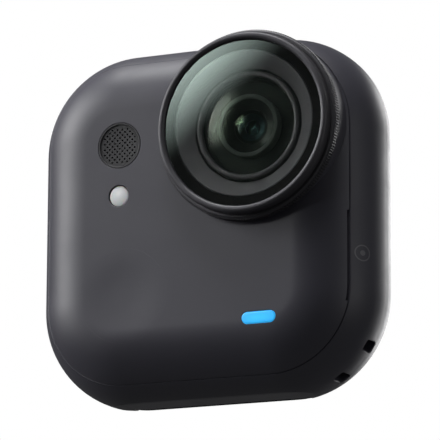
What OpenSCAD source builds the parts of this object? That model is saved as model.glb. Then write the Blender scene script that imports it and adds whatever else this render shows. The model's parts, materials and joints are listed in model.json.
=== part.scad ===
// Square pocket action camera with a screw-on lens guard and a dished shutter key.
// Millimetres. +Z is up, -Y is the way the lens looks, +X is to the right of the lens side.
// The origin is the centre of the flat back, the face that holds to a magnetic clip.
// "depth" is measured back from the flat front face, "rise" is measured forward from it.

/* [Body] */
// Width of the body
body_w = 46; // [42:0.5:56]
// Height of the body before the base is cut flat
body_h = 45.9; // [43:0.5:56]
// Thickness of the body, front face to back face
body_t = 15; // [14.6:0.1:18]
// Radius of the four corners seen from the front
corner_r = 12.9; // [12:0.1:13.8]
// Radius that rounds the front edge
front_round = 8.9; // [8.2:0.1:9.2]
// Radius that rounds the back edge
back_round = 5.6; // [4.6:0.1:5.8]
// Wall of the front cover
cover_wall = 1.8; // [1.6:0.05:2]
// Wall of the rear shell beside the lip of the cover
shell_wall = 1.2; // [1:0.05:1.25]
// Extra wall of the rear shell below the gasket
ledge_w = 0.7; // [0.5:0.05:0.8]
// Depth of the joint between cover and shell
seam_depth = 2.9; // [2.6:0.05:3]
// Width of the joint line
seam_gap = 0.1; // [0.06:0.01:0.16]
// How much the base is cut flat
base_cut = 0.5; // [0.4:0.05:0.6]

/* [Lens] */
// Lens axis to the right of the body's middle
lens_x = 8.65; // [7.6:0.05:9.2]
// Lens axis above the body's middle
lens_z = 10.06; // [9:0.05:10.4]
// Outer radius of the collar that carries the lens guard
collar_r = 11.75; // [11.5:0.05:11.95]
// Radius of the threaded neck of the lens mount
neck_r = 10.1; // [10:0.01:10.2]
// Radius of the ribbed grip of the guard
grip_r = 12.1; // [12:0.05:12.4]
// Radius of the smooth band of the guard
band_r = 11.45; // [11.4:0.01:11.6]
// Height of the guard's front rim above the front face
guard_rise = 2.97; // [2.9:0.01:3.4]
// Radius of the flat guard glass
glass_r = 10.52; // [10.4:0.01:10.6]
// Thickness of the flat guard glass
glass_t = 0.5; // [0.4:0.05:0.6]
// Radius of the domed front lens
dome_r = 6.15; // [6:0.01:6.2]
// Radius of the lens barrel
barrel_r = 6.95; // [6.9:0.01:7.1]

/* [Shutter key] */
// Key centre to the right of the body's middle
key_x = -8.7; // [-9:0.1:-8.4]
// Key centre above the body's middle
key_z = -9.9; // [-10.4:0.1:-9.6]
// Radius of the key
key_r = 5.95; // [5.6:0.05:6]
// Depth of the finger dish
dish_depth = 0.26; // [0.1:0.01:0.35]
// Travel of the key
key_travel = 0.3; // [0.2:0.01:0.31]

/* [Front details] */
// Microphone grille centre to the right of the body's middle
mic_x = -9.46; // [-9.8:0.02:-9.2]
// Microphone grille centre above the body's middle
mic_z = 9.45; // [9.2:0.05:10]
// Radius of the microphone grille
mic_r = 2.95; // [2.7:0.05:3]
// Half the spacing between rows of grille holes
mic_pitch = 0.35; // [0.32:0.01:0.36]
// Radius of one grille hole
mic_hole_r = 0.125; // [0.1:0.005:0.14]
// Lamp window centre above the body's middle
lamp_z = 2.94; // [2.5:0.02:3.2]
// Radius of the lamp window
lamp_r = 1.32; // [1.2:0.02:1.4]
// Status window centre to the right of the body's middle
status_x = 9.73; // [9:0.05:10]
// Status window centre above the body's middle
status_z = -14.0; // [-14.2:0.05:-13.5]
// Length of the status window
status_l = 4.5; // [4:0.1:5]
// Height of the status window
status_h = 1.5; // [1.3:0.05:1.6]

/* [Sound outlet] */
// Top end of the outlet slot in the joint, above the body's middle
outlet_top = -1; // [-2:0.1:-0.5]
// Length of the outlet slot
outlet_l = 11.3; // [8:0.1:11.5]
// Extra width of the joint along the outlet slot
outlet_w = 0.25; // [0.15:0.01:0.35]

/* [Lanyard corner] */
// Depth of the middle of the lanyard tunnel
cord_depth = 8.5; // [8.2:0.1:9]
// Width of the lanyard tunnel along the body's thickness
cord_w = 2.3; // [1.8:0.1:2.5]
// Width of each mouth along the corner
mouth_w = 1.5; // [1.2:0.1:1.7]
// Angle of the upper mouth below the horizontal
upper_mouth = 33; // [31:0.5:35]
// Angle of the lower mouth below the horizontal
lower_mouth = 56; // [54:0.5:58]
// Thickness of the bar between the mouths
cord_bar = 1.0; // [0.8:0.05:1.2]

/* [Base door] */
// Length of the door over the sockets
door_l = 24; // [23.2:0.1:24.4]
// Thickness of the door
door_t = 0.9; // [0.7:0.05:0.95]
// Depth of the door's front edge
door_front = 6.3; // [6.2:0.05:6.5]
// Depth of the hinge pin
pin_depth = 10.75; // [10.7:0.05:10.85]
// Radius of the door's knuckle
knuckle_r = 0.75; // [0.7:0.01:0.78]
// Radius of the hinge pin
pin_r = 0.4; // [0.35:0.01:0.42]

/* [Back] */
// Side of the square back plate
back_plate_w = 31; // [28:0.5:32]
// Thickness of the back plate
back_plate_t = 0.6; // [0.5:0.05:0.7]

/* [Fits] */
// Gap round a part that moves
run_gap = 0.04; // [0.03:0.005:0.06]
// Gap round a part that is glued or clipped in
seat_gap = 0.02; // [0.01:0.005:0.04]

/* [Hidden] */
$fn = 96;

far = 60;                                        // reaches past the body in any direction
front_y = -body_t;                               // the flat front face
base_z = -body_h / 2 + base_cut;                 // the flat base
corner_x = body_w / 2 - corner_r;
corner_z = body_h / 2 - corner_r;

// joint between the two shells
lip_depth = seam_depth + 1.3;
gasket_t = 0.65;
ledge_depth = lip_depth + gasket_t + 2 * seat_gap;
inner_wall = shell_wall + ledge_w;

// collar and lens mount
collar_depth = 6.6;
collar_bore_r = neck_r + 0.85;
flange_r = collar_bore_r - 0.05;
flange_top = 1.85;
flange_t = 1.15;
neck_bore_r = neck_r - 0.8;
neck_rise = 1.5;
floor_rise = -0.6;
bezel_rise = 1.85;
seal_groove = 0.4;

// lens guard
guard_base = 0.12;
guard_bore_r = neck_r + 0.05;
ledge_rise = 1.7;
ledge_in_r = neck_bore_r + 0.07;                 // the ledge reaches in over the whole seal
ledge_t = 0.3;
glass_seat_r = glass_r + 0.05;
glass_rise = ledge_rise + ledge_t;
grip_top = 1.45;
step_top = 1.65;
rim_r = (band_r - 0.02 - glass_seat_r) / 2;
rim_mid_r = (band_r - 0.02 + glass_seat_r) / 2;

// lens barrel and glass
barrel_seat = -0.6;
barrel_step = -4.5;
barrel_tail_r = 5.4;
barrel_bore_r = 4.25;
dome_apex = 1.85;
dome_ball_r = 13.6;
dome_back_apex = 1.15;
dome_back_r = 12.5;
cell_floor = -1.0;

// layers of the inside, as depths
battery_front = 4.05;
board_front = 10.05;
board_back = 10.85;
can_back = 12.05;
spreader_back = 12.35;
pad_front = 12.6;
sensor_back = 9.7;
sensor_front = 9.1;

// shutter key
guide_depth = 2.3;
key_flange_t = 0.4;
key_flange_r = key_r + 0.75;
stem_end = 3.0;
key_board_front = battery_front - 0.3;
dish_r = key_r + 0.15;
dish_ball_r = (dish_r * dish_r + dish_depth * dish_depth) / (2 * dish_depth);

// front windows
window_flange = 1.95;
window_flange_t = 0.35;
front_board_depth = 3.2;
status_board_depth = 3.0;

// door and sockets
pin_z = base_z + knuckle_r;
seal_t = 0.4;
recess_top = base_z + door_t + seal_t + 0.05;
socket_well = 10;                                // clears the sockets up from the door recess
port_top = base_z + 2.6;
usb = [8.94, 3.26];
usb_x = -6;
usb_depth = 8.35;
usb_l = 7.35;
card = [11, 0.7, 15];
card_x = 6;
card_depth = 9.15;
card_bottom = recess_top + 0.15;
socket_wall = 0.35;

screw_r = 0.6;
screw_head_r = 1.0;
screw_head_t = 0.5;
boss_r = 1.6;
board_screw_places = [[-13.5, -15.2], [15.2, -13], [-9, 15.2], [17.2, 0.5]];

magnet = [11, 3.6, 1.2];
magnet_places = [[-7.5, 9], [7.5, 9], [-7.5, -5], [7.5, -5]];
contact_z = -11.6;
contact = [13, 3.4];
contact_count = 5;
contact_step = 2.4;

// ---------- helpers ----------

// 2D children in the X-Z plane, filled from one depth to another
module layer(d0, d1, x = 0, z = 0)
    translate([x, front_y + d1, z]) rotate([90, 0, 0]) linear_extrude(d1 - d0) children();

// 2D children as (radius, rise), turned about an axis along Y
module turned(x = lens_x, z = lens_z)
    translate([x, front_y, z]) rotate([90, 0, 0]) rotate_extrude() children();

// rectangle of a turned section, from one radius and rise to another
module band(r0, r1, rise0, rise1) translate([r0, rise0]) square([r1 - r0, rise1 - rise0]);

module disc(r, d0, d1, x, z) layer(d0, d1, x, z) circle(r);

// box given by its low and high X, depth and Z
module block(x0, x1, d0, d1, z0, z1)
    translate([x0, front_y + d0, z0]) cube([x1 - x0, d1 - d0, z1 - z0]);

module round_rect(w, h, r) {
    square([w - 2 * r, h], center = true);
    square([w, h - 2 * r], center = true);
    for (sx = [-1, 1], sy = [-1, 1]) translate([sx * (w / 2 - r), sy * (h / 2 - r)]) circle(r);
}

module pill(l, h) round_rect(l, h, h / 2 - 0.01);

// what lies outside a quarter circle
module outside_quarter(r) difference() {
    square(r + 1);
    circle(r);
}

// edge of the body from its middle out to reach, all faces moved in by inset
module edge_section(reach, inset) {
    top = -inset;
    bottom = inset - body_t;
    rf = front_round - inset;
    rb = back_round - inset;
    difference() {
        translate([0, bottom]) square([reach, top - bottom]);
        translate([reach - rf, top - rf]) outside_quarter(rf);
        translate([reach - rb, bottom + rb]) mirror([0, 1]) outside_quarter(rb);
    }
}

module both_sides() {
    children();
    mirror([1, 0]) children();
}

// the soft square body, all faces moved in by inset
module body_form(inset = 0) translate([0, front_y, 0]) rotate([90, 0, 0]) {
    for (quarter = [0:3]) {
        sx = quarter == 0 || quarter == 3 ? 1 : -1;
        sz = quarter < 2 ? 1 : -1;
        translate([sx * corner_x, sz * corner_z, 0]) rotate([0, 0, 90 * quarter])
            rotate_extrude(angle = 90) edge_section(corner_r - inset, inset);
    }
    rotate([90, 0, 90]) linear_extrude(2 * corner_x, center = true)
        both_sides() edge_section(body_h / 2 - inset, inset);
    rotate([90, 0, 0]) linear_extrude(2 * corner_z, center = true)
        both_sides() edge_section(body_w / 2 - inset, inset);
}

module depths(d0, d1) block(-far, far, d0, d1, -far, far);

// a wall of the body between two insets and two depths
module body_wall(outer, inner, d0, d1) intersection() {
    difference() {
        body_form(outer);
        body_form(inner);
    }
    depths(d0, d1);
}

module collar_space(gap) turned() band(0, collar_r + gap, -collar_depth - gap, 1);

// ---------- casing ----------

module status_outline(grow = 0) pill(status_l + 2 * grow, status_h + 2 * grow);

module front_cover() color("#4b4a50") difference() {
    union() {
        body_wall(0, cover_wall, 0, seam_depth);
        body_wall(shell_wall + seat_gap, cover_wall, seam_depth - 0.1, lip_depth);
        turned() band(0, collar_r, -collar_depth, 0);
        intersection() {
            body_form();
            disc(key_flange_r + 0.2, 0, guide_depth, key_x, key_z);
        }
        for (dz = [-4.6, 10.2]) block(mic_x - 1.2, mic_x + 1.2, cover_wall - 0.1,
                                     front_board_depth, lamp_z + dz - 0.7, lamp_z + dz + 0.7);
        for (side = [-1, 1]) block(status_x + side * 4 - 0.6, status_x + side * 4 + 0.6,
                                   cover_wall - 0.1, status_board_depth, status_z, status_z + 1.4);
    }
    turned() {
        band(0, neck_r + run_gap, -cover_wall, 1);
        band(0, collar_bore_r, -collar_depth - 1, -flange_top + seal_groove);
    }
    disc(key_r + run_gap, -1, guide_depth + 1, key_x, key_z);
    disc(mic_r + seat_gap, -1, 0.6, mic_x, mic_z);
    disc(mic_r - 0.75, -1, cover_wall + 1, mic_x, mic_z);
    disc(lamp_r + seat_gap, -1, cover_wall + 1, mic_x, lamp_z);
    layer(-1, window_flange + 0.3, status_x, status_z) status_outline(seat_gap);
    block(body_w / 4, far, seam_depth - outlet_w, seam_depth + 0.01,
          outlet_top - outlet_l, outlet_top);
}

module rear_shell() color("#47464c") difference() {
    union() {
        difference() {
            intersection() {
                body_form();
                depths(seam_depth + seam_gap, body_t + 1);
            }
            intersection() {
                body_form(shell_wall);
                depths(0, ledge_depth);
            }
            body_form(inner_wall);
        }
        intersection() {
            body_form();
            union() {
                block(-door_l / 2 - 1.9, door_l / 2 + 1.9, door_front - 0.8, pin_depth + 1.5,
                      base_z, port_top);
                cord_housing();
            }
        }
        for (p = board_screw_places) disc(boss_r, board_back, body_t - inner_wall + 0.1, p[0], p[1]);
        for (p = magnet_places) layer(pad_front, body_t - inner_wall + 0.1, p[0], p[1])
            round_rect(magnet[0] + 1.6, magnet[1] + 1.6, 0.8);
    }
    translate([-far, -far, base_z - far]) cube([2 * far, 2 * far, far]);
    collar_space(0.1);
    cord_tunnel();
    door_space();
    socket_windows();
    for (p = board_screw_places) disc(screw_r + seat_gap, board_back - 1, body_t - 0.9, p[0], p[1]);
    back_plate_space();
    for (p = magnet_places) layer(body_t - back_plate_t - magnet[2] - seat_gap, body_t, p[0], p[1])
        round_rect(magnet[0] + 2 * seat_gap, magnet[1] + 2 * seat_gap, 0.5);
    layer(board_back, body_t + 1, 0, contact_z)
        round_rect(contact[0] + 2 * seat_gap, contact[1] + 2 * seat_gap, 1.2);
}

module joint_gasket() color("#1d1d20") difference() {
    body_wall(shell_wall + seat_gap, inner_wall, lip_depth + seat_gap, lip_depth + seat_gap + gasket_t);
    collar_space(0.15);
}

// ---------- lanyard corner ----------

module in_corner() translate([corner_x, front_y + cord_depth, -corner_z]) rotate([90, 0, 0]) children();

module cord_housing() in_corner() rotate([0, 0, -lower_mouth - 14])
    rotate_extrude(angle = lower_mouth - upper_mouth + 28)
        translate([corner_r - cord_bar - 2.7, -cord_w / 2 - 0.9]) square([3.2, cord_w + 1.8]);

module cord_tunnel() in_corner() {
    rotate([0, 0, -lower_mouth]) rotate_extrude(angle = lower_mouth - upper_mouth)
        translate([corner_r - cord_bar - 0.9, 0]) round_rect(1.8, cord_w, 0.5);
    for (a = [upper_mouth, lower_mouth]) rotate([0, 0, -a]) rotate([0, 90, 0])
        translate([0, 0, corner_r - cord_bar - 1.8]) linear_extrude(6)
            round_rect(cord_w, mouth_w, 0.35);
}

// ---------- back ----------

module back_outline(grow = 0) round_rect(back_plate_w + 2 * grow, back_plate_w + 2 * grow, 7);

module back_plate_space() layer(body_t - back_plate_t, body_t + 1) back_outline(seat_gap);

module back_plate() color("#3a3a3e") difference() {
    layer(body_t - back_plate_t, body_t) back_outline();
    layer(0, body_t + 1, 0, contact_z)
        round_rect(contact[0] + 2 * seat_gap, contact[1] + 2 * seat_gap, 1.2);
}

module back_magnets() color("#9a9b9e")
    for (p = magnet_places) layer(body_t - back_plate_t - magnet[2], body_t - back_plate_t, p[0], p[1])
        round_rect(magnet[0], magnet[1], 0.5);

module at_contacts() for (i = [0:contact_count - 1])
    translate([(i - (contact_count - 1) / 2) * contact_step, 0]) children();

module contact_block() color("#1b1b1d") difference() {
    layer(pad_front, body_t, 0, contact_z) round_rect(contact[0], contact[1], 1.2);
    layer(body_t - 1.2, body_t + 1, 0, contact_z) at_contacts() circle(0.75 + seat_gap);
}

module contact_pads() color("#d0a850") layer(body_t - 1.2, body_t - 0.05, 0, contact_z)
    at_contacts() circle(0.75);

// ---------- lens mount and guard ----------

module lens_mount() color("#2a2a2d") turned() {
    band(neck_bore_r, neck_r, -flange_top, neck_rise);
    band(neck_bore_r - 0.01, flange_r, -flange_top - flange_t, -flange_top);
    band(barrel_r + run_gap, neck_bore_r + 0.01, -flange_top - flange_t, floor_rise);
}

module mount_seal() color("#141416") turned()
    band(neck_r + run_gap, flange_r, -flange_top + seat_gap, -flange_top + seal_groove - seat_gap);

module guard_ring() color("#252428") turned() difference() {
    union() {
        band(guard_bore_r, grip_r - 0.12, guard_base, grip_top);
        band(guard_bore_r, grip_r, guard_base + 0.12, grip_top - 0.12);
        band(guard_bore_r, (grip_r + band_r) / 2, guard_base, step_top);
        band(ledge_in_r, band_r, ledge_rise, guard_rise - rim_r);
        band(guard_bore_r, band_r, guard_base, ledge_rise);
        translate([rim_mid_r, guard_rise - rim_r]) circle(rim_r);
    }
    band(0, glass_seat_r, glass_rise, guard_rise + 1);
}

module guard_glass() color("#a8c0b8", 0.3) turned() band(0, glass_r, glass_rise, glass_rise + glass_t);

module guard_seal() color("#101012") turned()
    band(neck_bore_r + 0.15, neck_r - 0.05, neck_rise + 0.02, ledge_rise - 0.02);

module lens_bezel() color("#5e5e60") turned() polygon([
    [barrel_r + 0.25, floor_rise],
    [neck_bore_r - 0.05, floor_rise],
    [neck_bore_r - 0.05, bezel_rise],
    [neck_bore_r - 0.15, bezel_rise],
    [barrel_r + 0.25, 0.5]]);

// ---------- lens ----------

module lens_barrel() color("#0f0f11") turned() {
    band(dome_r + 0.05, barrel_r, barrel_seat, 0.05);
    band(dome_r - 0.35, barrel_r, cell_floor, barrel_seat);
    band(1.6, barrel_r, cell_floor - 0.3, cell_floor);
    band(barrel_bore_r, barrel_r, barrel_step, cell_floor - 0.3);
    band(barrel_bore_r, barrel_tail_r, -sensor_front, barrel_step);
}

module dome_ring() color("#3c3c40") turned() {
    bead_r = (barrel_r - dome_r - 0.05) / 2;
    band(dome_r + 0.05, barrel_r, 0.05, 0.1 + bead_r);
    translate([barrel_r - bead_r, 0.1 + bead_r]) circle(bead_r - 0.001);
}

module dome_lens() color("#42564e", 0.45) turned() difference() {
    intersection() {
        band(0, dome_r, barrel_seat, dome_apex + 0.1);
        translate([0, dome_apex - dome_ball_r]) circle(dome_ball_r, $fn = 200);
    }
    translate([0, dome_back_apex - dome_back_r]) circle(dome_back_r, $fn = 200);
}

module spacer_ring() color("#6a6a6c") turned() band(3.4, 3.9, cell_floor, 0.35);

module inner_cell() color("#0c0c0e") turned()
    polygon([[2.15, cell_floor], [3.38, cell_floor], [3.38, 0.15], [2.15, -0.45]]);

module second_lens() color("#2c5560", 0.5) turned() intersection() {
    band(0, 2.1, cell_floor, 0.1);
    translate([0, -3.9]) circle(4);
}

module aperture_disc() color("#16282e") turned() band(0.85, barrel_bore_r - run_gap, cell_floor - 0.5,
                                                     cell_floor - 0.3);

module rear_lens() color("#5f7f88", 0.5) turned() intersection() {
    band(0, barrel_bore_r - run_gap, -4.6, cell_floor - 0.5);
    translate([0, -9.9]) circle(8.4);
}

module lens_retainer() color("#1a1a1c") turned() band(2.9, barrel_bore_r - run_gap, -5.1, -4.6);

module infrared_filter() color("#7fb0a8", 0.5) turned() band(0, barrel_bore_r - run_gap, -8.0, -7.6);

module image_sensor() color("#28302c")
    layer(sensor_front - 0.7, sensor_front, lens_x, lens_z) square([5.8, 5.8], center = true);

module sensor_board() color("#20402c")
    layer(sensor_front, sensor_back, lens_x, lens_z) round_rect(11.5, 11.5, 0.8);

module sensor_connector() color("#2a2a2a")
    layer(sensor_back, board_front, lens_x, lens_z - 3) square([6, 2], center = true);

// ---------- front details ----------

module mic_grille() color("#3e3d43") difference() {
    disc(mic_r, 0.05, 0.6, mic_x, mic_z);
    disc(mic_r - 0.18, -1, 0.15, mic_x, mic_z);
    layer(-1, 1, mic_x, mic_z)
        for (i = [-6:6], j = [-6:6])
            if ((i + j) % 2 != 0 && i * i + j * j < 6.8 * 6.8)
                translate([i * mic_pitch, j * mic_pitch]) circle(mic_hole_r, $fn = 24);
}

module mic_membrane() color("#d8d8d4") disc(mic_r - 0.8, 0.6, 0.75, mic_x, mic_z);

module microphone() color("#b9b29c")
    layer(front_board_depth - 1, front_board_depth, mic_x, mic_z) square([3.5, 2.65], center = true);

module lamp_window() color("#dcdcdc") {
    disc(lamp_r, 0.03, window_flange, mic_x, lamp_z);
    disc(lamp_r + 0.6, window_flange, window_flange + window_flange_t, mic_x, lamp_z);
}

module lamp_led() color("#f0e8c0")
    layer(front_board_depth - 0.6, front_board_depth, mic_x, lamp_z) square([1.6, 1.6], center = true);

module front_board() color("#20402c")
    layer(front_board_depth, front_board_depth + 0.3, mic_x, lamp_z + 2.8) round_rect(8, 16.5, 0.8);

module status_window() color("#33b5f5") {
    intersection() {
        body_form(0.02);
        layer(-1, window_flange + 0.3, status_x, status_z) status_outline();
    }
    layer(window_flange + 0.3, window_flange + 0.6, status_x, status_z) status_outline(0.4);
}

module status_led() color("#c8e0f0")
    layer(status_board_depth - 0.4, status_board_depth, status_x, status_z)
        square([3.2, 1], center = true);

module status_board() color("#20402c")
    layer(status_board_depth, status_board_depth + 0.3, status_x, status_z + 0.5)
        round_rect(10.4, 3.6, 0.5);

module shutter_key() color("#4b4a50") difference() {
    union() {
        intersection() {
            body_form();
            disc(key_r, -1, guide_depth + run_gap + key_flange_t, key_x, key_z);
        }
        disc(key_flange_r, guide_depth + run_gap, guide_depth + run_gap + key_flange_t, key_x, key_z);
        disc(1.2, guide_depth, stem_end, key_x, key_z);
    }
    turned(key_x, key_z) intersection() {
        translate([0, dish_ball_r - dish_depth]) circle(dish_ball_r, $fn = 300);
        band(0, key_r + 1, -1, 1);
    }
}

module shutter_switch() color("#b8babc") {
    disc(1.0, stem_end + key_travel + 0.01, key_board_front - 0.2, key_x, key_z);
    disc(1.9, key_board_front - 0.2, key_board_front, key_x, key_z);
}

module key_board() color("#20402c") layer(key_board_front, battery_front, key_x, key_z) round_rect(9, 7, 0.8);

// ---------- electronics ----------

module sounder() color("#303033") difference() {
    block(15.2, 18.2, 5.2, board_front, outlet_top - outlet_l + 0.4, outlet_top - 0.4);
    block(17.9, 19, 5.9, board_front - 0.8, outlet_top - outlet_l + 1.2, outlet_top - 1.2);
}

module battery() color("#3f6a96")
    layer(battery_front, board_front, -11, 0.35) round_rect(15.2, 25.3, 1);

module battery_plug() color("#e6e2d4") block(-2.9, 0.1, board_front - 1.45, board_front, -4, -1);

module main_board() color("#1f4a30") difference() {
    layer(board_front, board_back, 0, 0.2) round_rect(38, 37.6, 9.5);
    for (p = board_screw_places) disc(screw_r + run_gap, 0, board_back + 1, p[0], p[1]);
}

module shield_can() color("#a9abad") layer(board_back, can_back, -2, 3) round_rect(20, 18, 0.8);

module heat_spreader() color("#b06a3c") layer(can_back, spreader_back, -1, 1.5) round_rect(26, 23, 2);

module board_screws() color("#8f9194") for (p = board_screw_places) {
    disc(screw_head_r, board_front - screw_head_t, board_front, p[0], p[1]);
    disc(screw_r, board_front, body_t - 1, p[0], p[1]);
}

module antenna() color("#c9a25a") block(-8, 1.5, collar_depth + 0.3, board_front, 17.5, 18.3);

// ---------- base door and sockets ----------

module along_pin(r, l) translate([-l / 2, front_y + pin_depth, pin_z]) rotate([0, 90, 0])
    cylinder(h = l, r = r);

module door_space() {
    block(-door_l / 2 - run_gap, door_l / 2 + run_gap, door_front - run_gap, pin_depth,
          base_z - 1, recess_top);
    block(-door_l / 2 - run_gap, door_l / 2 + run_gap, pin_depth - 0.1, pin_depth + knuckle_r + 0.2,
          base_z - 1, pin_z);
    along_pin(knuckle_r + 0.08, door_l + 2 * run_gap);
    along_pin(pin_r + seat_gap / 2, door_l + 2.4);
}

module socket_windows() {
    translate([usb_x, front_y + usb_depth, base_z - 1]) linear_extrude(socket_well)
        round_rect(usb[0] + 0.2, usb[1] + 0.2, 1.2);
    block(card_x - card[0] / 2 - 0.15, card_x + card[0] / 2 + 0.15, card_depth - card[1] / 2 - 0.15,
          card_depth + card[1] / 2 + 0.15, base_z, port_top + 1);
}

module port_door() color("#55545a") difference() {
    union() {
        block(-door_l / 2, door_l / 2, door_front, pin_depth, base_z, base_z + door_t);
        along_pin(knuckle_r, door_l);
    }
    along_pin(pin_r + run_gap, door_l + 1);
}

module door_seal() color("#18181a")
    translate([0, front_y + (door_front + pin_depth - knuckle_r) / 2, base_z + door_t])
        linear_extrude(seal_t) difference() {
            square([door_l - 0.6, pin_depth - knuckle_r - door_front - 0.2], center = true);
            square([door_l - 1.6, pin_depth - knuckle_r - door_front - 1.2], center = true);
        }

module door_pin() color("#8f9194") along_pin(pin_r, door_l + 2.4);

module usb_socket() color("#a9abad") difference() {
    translate([usb_x, front_y + usb_depth, recess_top + 0.1]) linear_extrude(usb_l)
        round_rect(usb[0], usb[1], 1.1);
    translate([usb_x, front_y + usb_depth, recess_top]) linear_extrude(usb_l - 1.5) difference() {
        round_rect(usb[0] - 0.7, usb[1] - 0.7, 0.9);
        square([6.7, 0.7], center = true);
    }
}

module card_socket() color("#b4b6b8") difference() {
    block(card_x - card[0] / 2 - socket_wall - 0.05, card_x + card[0] / 2 + socket_wall + 0.05,
          card_depth - card[1] / 2 - socket_wall - 0.05, board_front, port_top + 0.1,
          card_bottom + card[2] + 0.5);
    block(card_x - card[0] / 2 - 0.05, card_x + card[0] / 2 + 0.05, card_depth - card[1] / 2 - 0.05,
          card_depth + card[1] / 2 + 0.05, port_top, card_bottom + card[2] + 0.05);
}

module memory_card() color("#17171a")
    block(card_x - card[0] / 2, card_x + card[0] / 2, card_depth - card[1] / 2,
          card_depth + card[1] / 2, card_bottom, card_bottom + card[2]);

front_cover();
rear_shell();
joint_gasket();
back_plate();
back_magnets();
contact_block();
contact_pads();
lens_mount();
mount_seal();
guard_ring();
guard_glass();
guard_seal();
lens_bezel();
lens_barrel();
dome_ring();
dome_lens();
spacer_ring();
inner_cell();
second_lens();
aperture_disc();
rear_lens();
lens_retainer();
infrared_filter();
image_sensor();
sensor_board();
sensor_connector();
mic_grille();
mic_membrane();
microphone();
lamp_window();
lamp_led();
front_board();
status_window();
status_led();
status_board();
shutter_key();
shutter_switch();
key_board();
sounder();
battery();
battery_plug();
main_board();
shield_can();
heat_spreader();
board_screws();
usb_socket();
card_socket();
memory_card();
port_door();
door_seal();
door_pin();
antenna();
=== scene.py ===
"""Looks of a square pocket action camera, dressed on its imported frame.

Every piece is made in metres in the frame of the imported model: +Z is up, -Y is the way the lens
looks, and the origin is the centre of the flat back. "Depth" is measured back from the flat front
face and "rise" forward from it.
"""
import json
import logging
from dataclasses import dataclass, field
from enum import Enum
from math import acos, asin, cos, hypot, pi, radians, sin, sqrt, tan
from typing import Callable, Iterable, Sequence

import bmesh
import bpy
from mathutils import Euler, Matrix, Vector


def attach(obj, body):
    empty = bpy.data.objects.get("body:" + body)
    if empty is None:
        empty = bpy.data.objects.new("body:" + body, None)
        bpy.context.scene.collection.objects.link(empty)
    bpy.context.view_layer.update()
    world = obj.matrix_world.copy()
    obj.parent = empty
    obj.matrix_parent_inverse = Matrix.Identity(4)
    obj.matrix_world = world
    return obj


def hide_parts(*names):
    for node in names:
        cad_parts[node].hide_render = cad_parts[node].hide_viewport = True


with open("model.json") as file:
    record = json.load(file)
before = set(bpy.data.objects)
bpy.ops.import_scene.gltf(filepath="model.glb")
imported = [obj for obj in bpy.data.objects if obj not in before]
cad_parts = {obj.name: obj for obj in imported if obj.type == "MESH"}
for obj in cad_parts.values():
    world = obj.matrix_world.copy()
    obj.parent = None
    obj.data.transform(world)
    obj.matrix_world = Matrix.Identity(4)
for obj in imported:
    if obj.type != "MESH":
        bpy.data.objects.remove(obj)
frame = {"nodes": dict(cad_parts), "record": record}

log = logging.getLogger("camera")
MM = 0.001
WELD = 1e-8
Point = tuple[float, float]
Color = tuple[float, float, float]
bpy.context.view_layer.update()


class Body(Enum):
    """The bodies that a piece can ride on."""

    CAMERA = "camera"
    GUARD = "guard"
    SHUTTER = "shutter"
    DOOR = "door"


class Step(Enum):
    """What a boolean step does with its tool."""

    JOIN = "UNION"
    CUT = "DIFFERENCE"


class Kind(Enum):
    """What a group's input or output carries."""

    FLOAT = "NodeSocketFloat"
    INT = "NodeSocketInt"
    VECTOR = "NodeSocketVector"
    COLOR = "NodeSocketColor"
    GEOMETRY = "NodeSocketGeometry"
    MATERIAL = "NodeSocketMaterial"


class Way(Enum):
    """Which side of a group a socket is on."""

    IN = "INPUT"
    OUT = "OUTPUT"


# --------------------------------------------------------------------------- small geometry


def mm(*values: float) -> Vector:
    """A point given in millimetres, in metres."""
    return Vector(values) * MM


def arc(centre: Point, radius: float, start: float, end: float, steps: int) -> list[Point]:
    """Points along an arc.

    Args:
        centre: Centre of the arc.
        radius: Its radius.
        start: First angle, in degrees.
        end: Last angle, in degrees.
        steps: Number of chords.

    Returns:
        steps + 1 points, both ends included.
    """
    angles = [radians(start + (end - start) * i / steps) for i in range(steps + 1)]
    return [(centre[0] + radius * cos(a), centre[1] + radius * sin(a)) for a in angles]


def rounded(corners: Sequence[tuple[float, float, float]], steps: int = 5) -> list[Point]:
    """A closed outline with its corners rounded.

    Args:
        corners: (x, y, radius) of each corner, in order.
        steps: Chords in each rounded corner.

    Returns:
        The points of the outline.
    """
    points: list[Point] = []
    count = len(corners)
    for i, (x, y, radius) in enumerate(corners):
        here = Vector((x, y))
        before = (Vector(corners[i - 1][:2]) - here).normalized()
        after = (Vector(corners[(i + 1) % count][:2]) - here).normalized()
        if radius <= 0:
            points.append((x, y))
            continue
        half = before.angle(after) / 2
        reach = radius / tan(half)
        centre = here + (before + after).normalized() * (radius / sin(half))
        first = here + before * reach - centre
        sweep = first.angle_signed(here + after * reach - centre)
        for k in range(steps + 1):
            spoke = first.copy()
            spoke.rotate(Matrix.Rotation(-sweep * k / steps, 2))
            points.append(tuple(centre + spoke))
    return points


def disc_outline(radius: float, count: int = 64) -> list[Point]:
    """A circle round the middle, as points."""
    return [(radius * cos(2 * pi * i / count), radius * sin(2 * pi * i / count))
            for i in range(count)]


def box_outline(width: float, height: float, corner: float, steps: int = 10) -> list[Point]:
    """A rectangle with round corners round the middle, as points."""
    w, h = width / 2, height / 2
    return rounded([(w, -h, corner), (w, h, corner), (-w, h, corner), (-w, -h, corner)], steps)


# --------------------------------------------------------------------------- meshes


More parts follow.
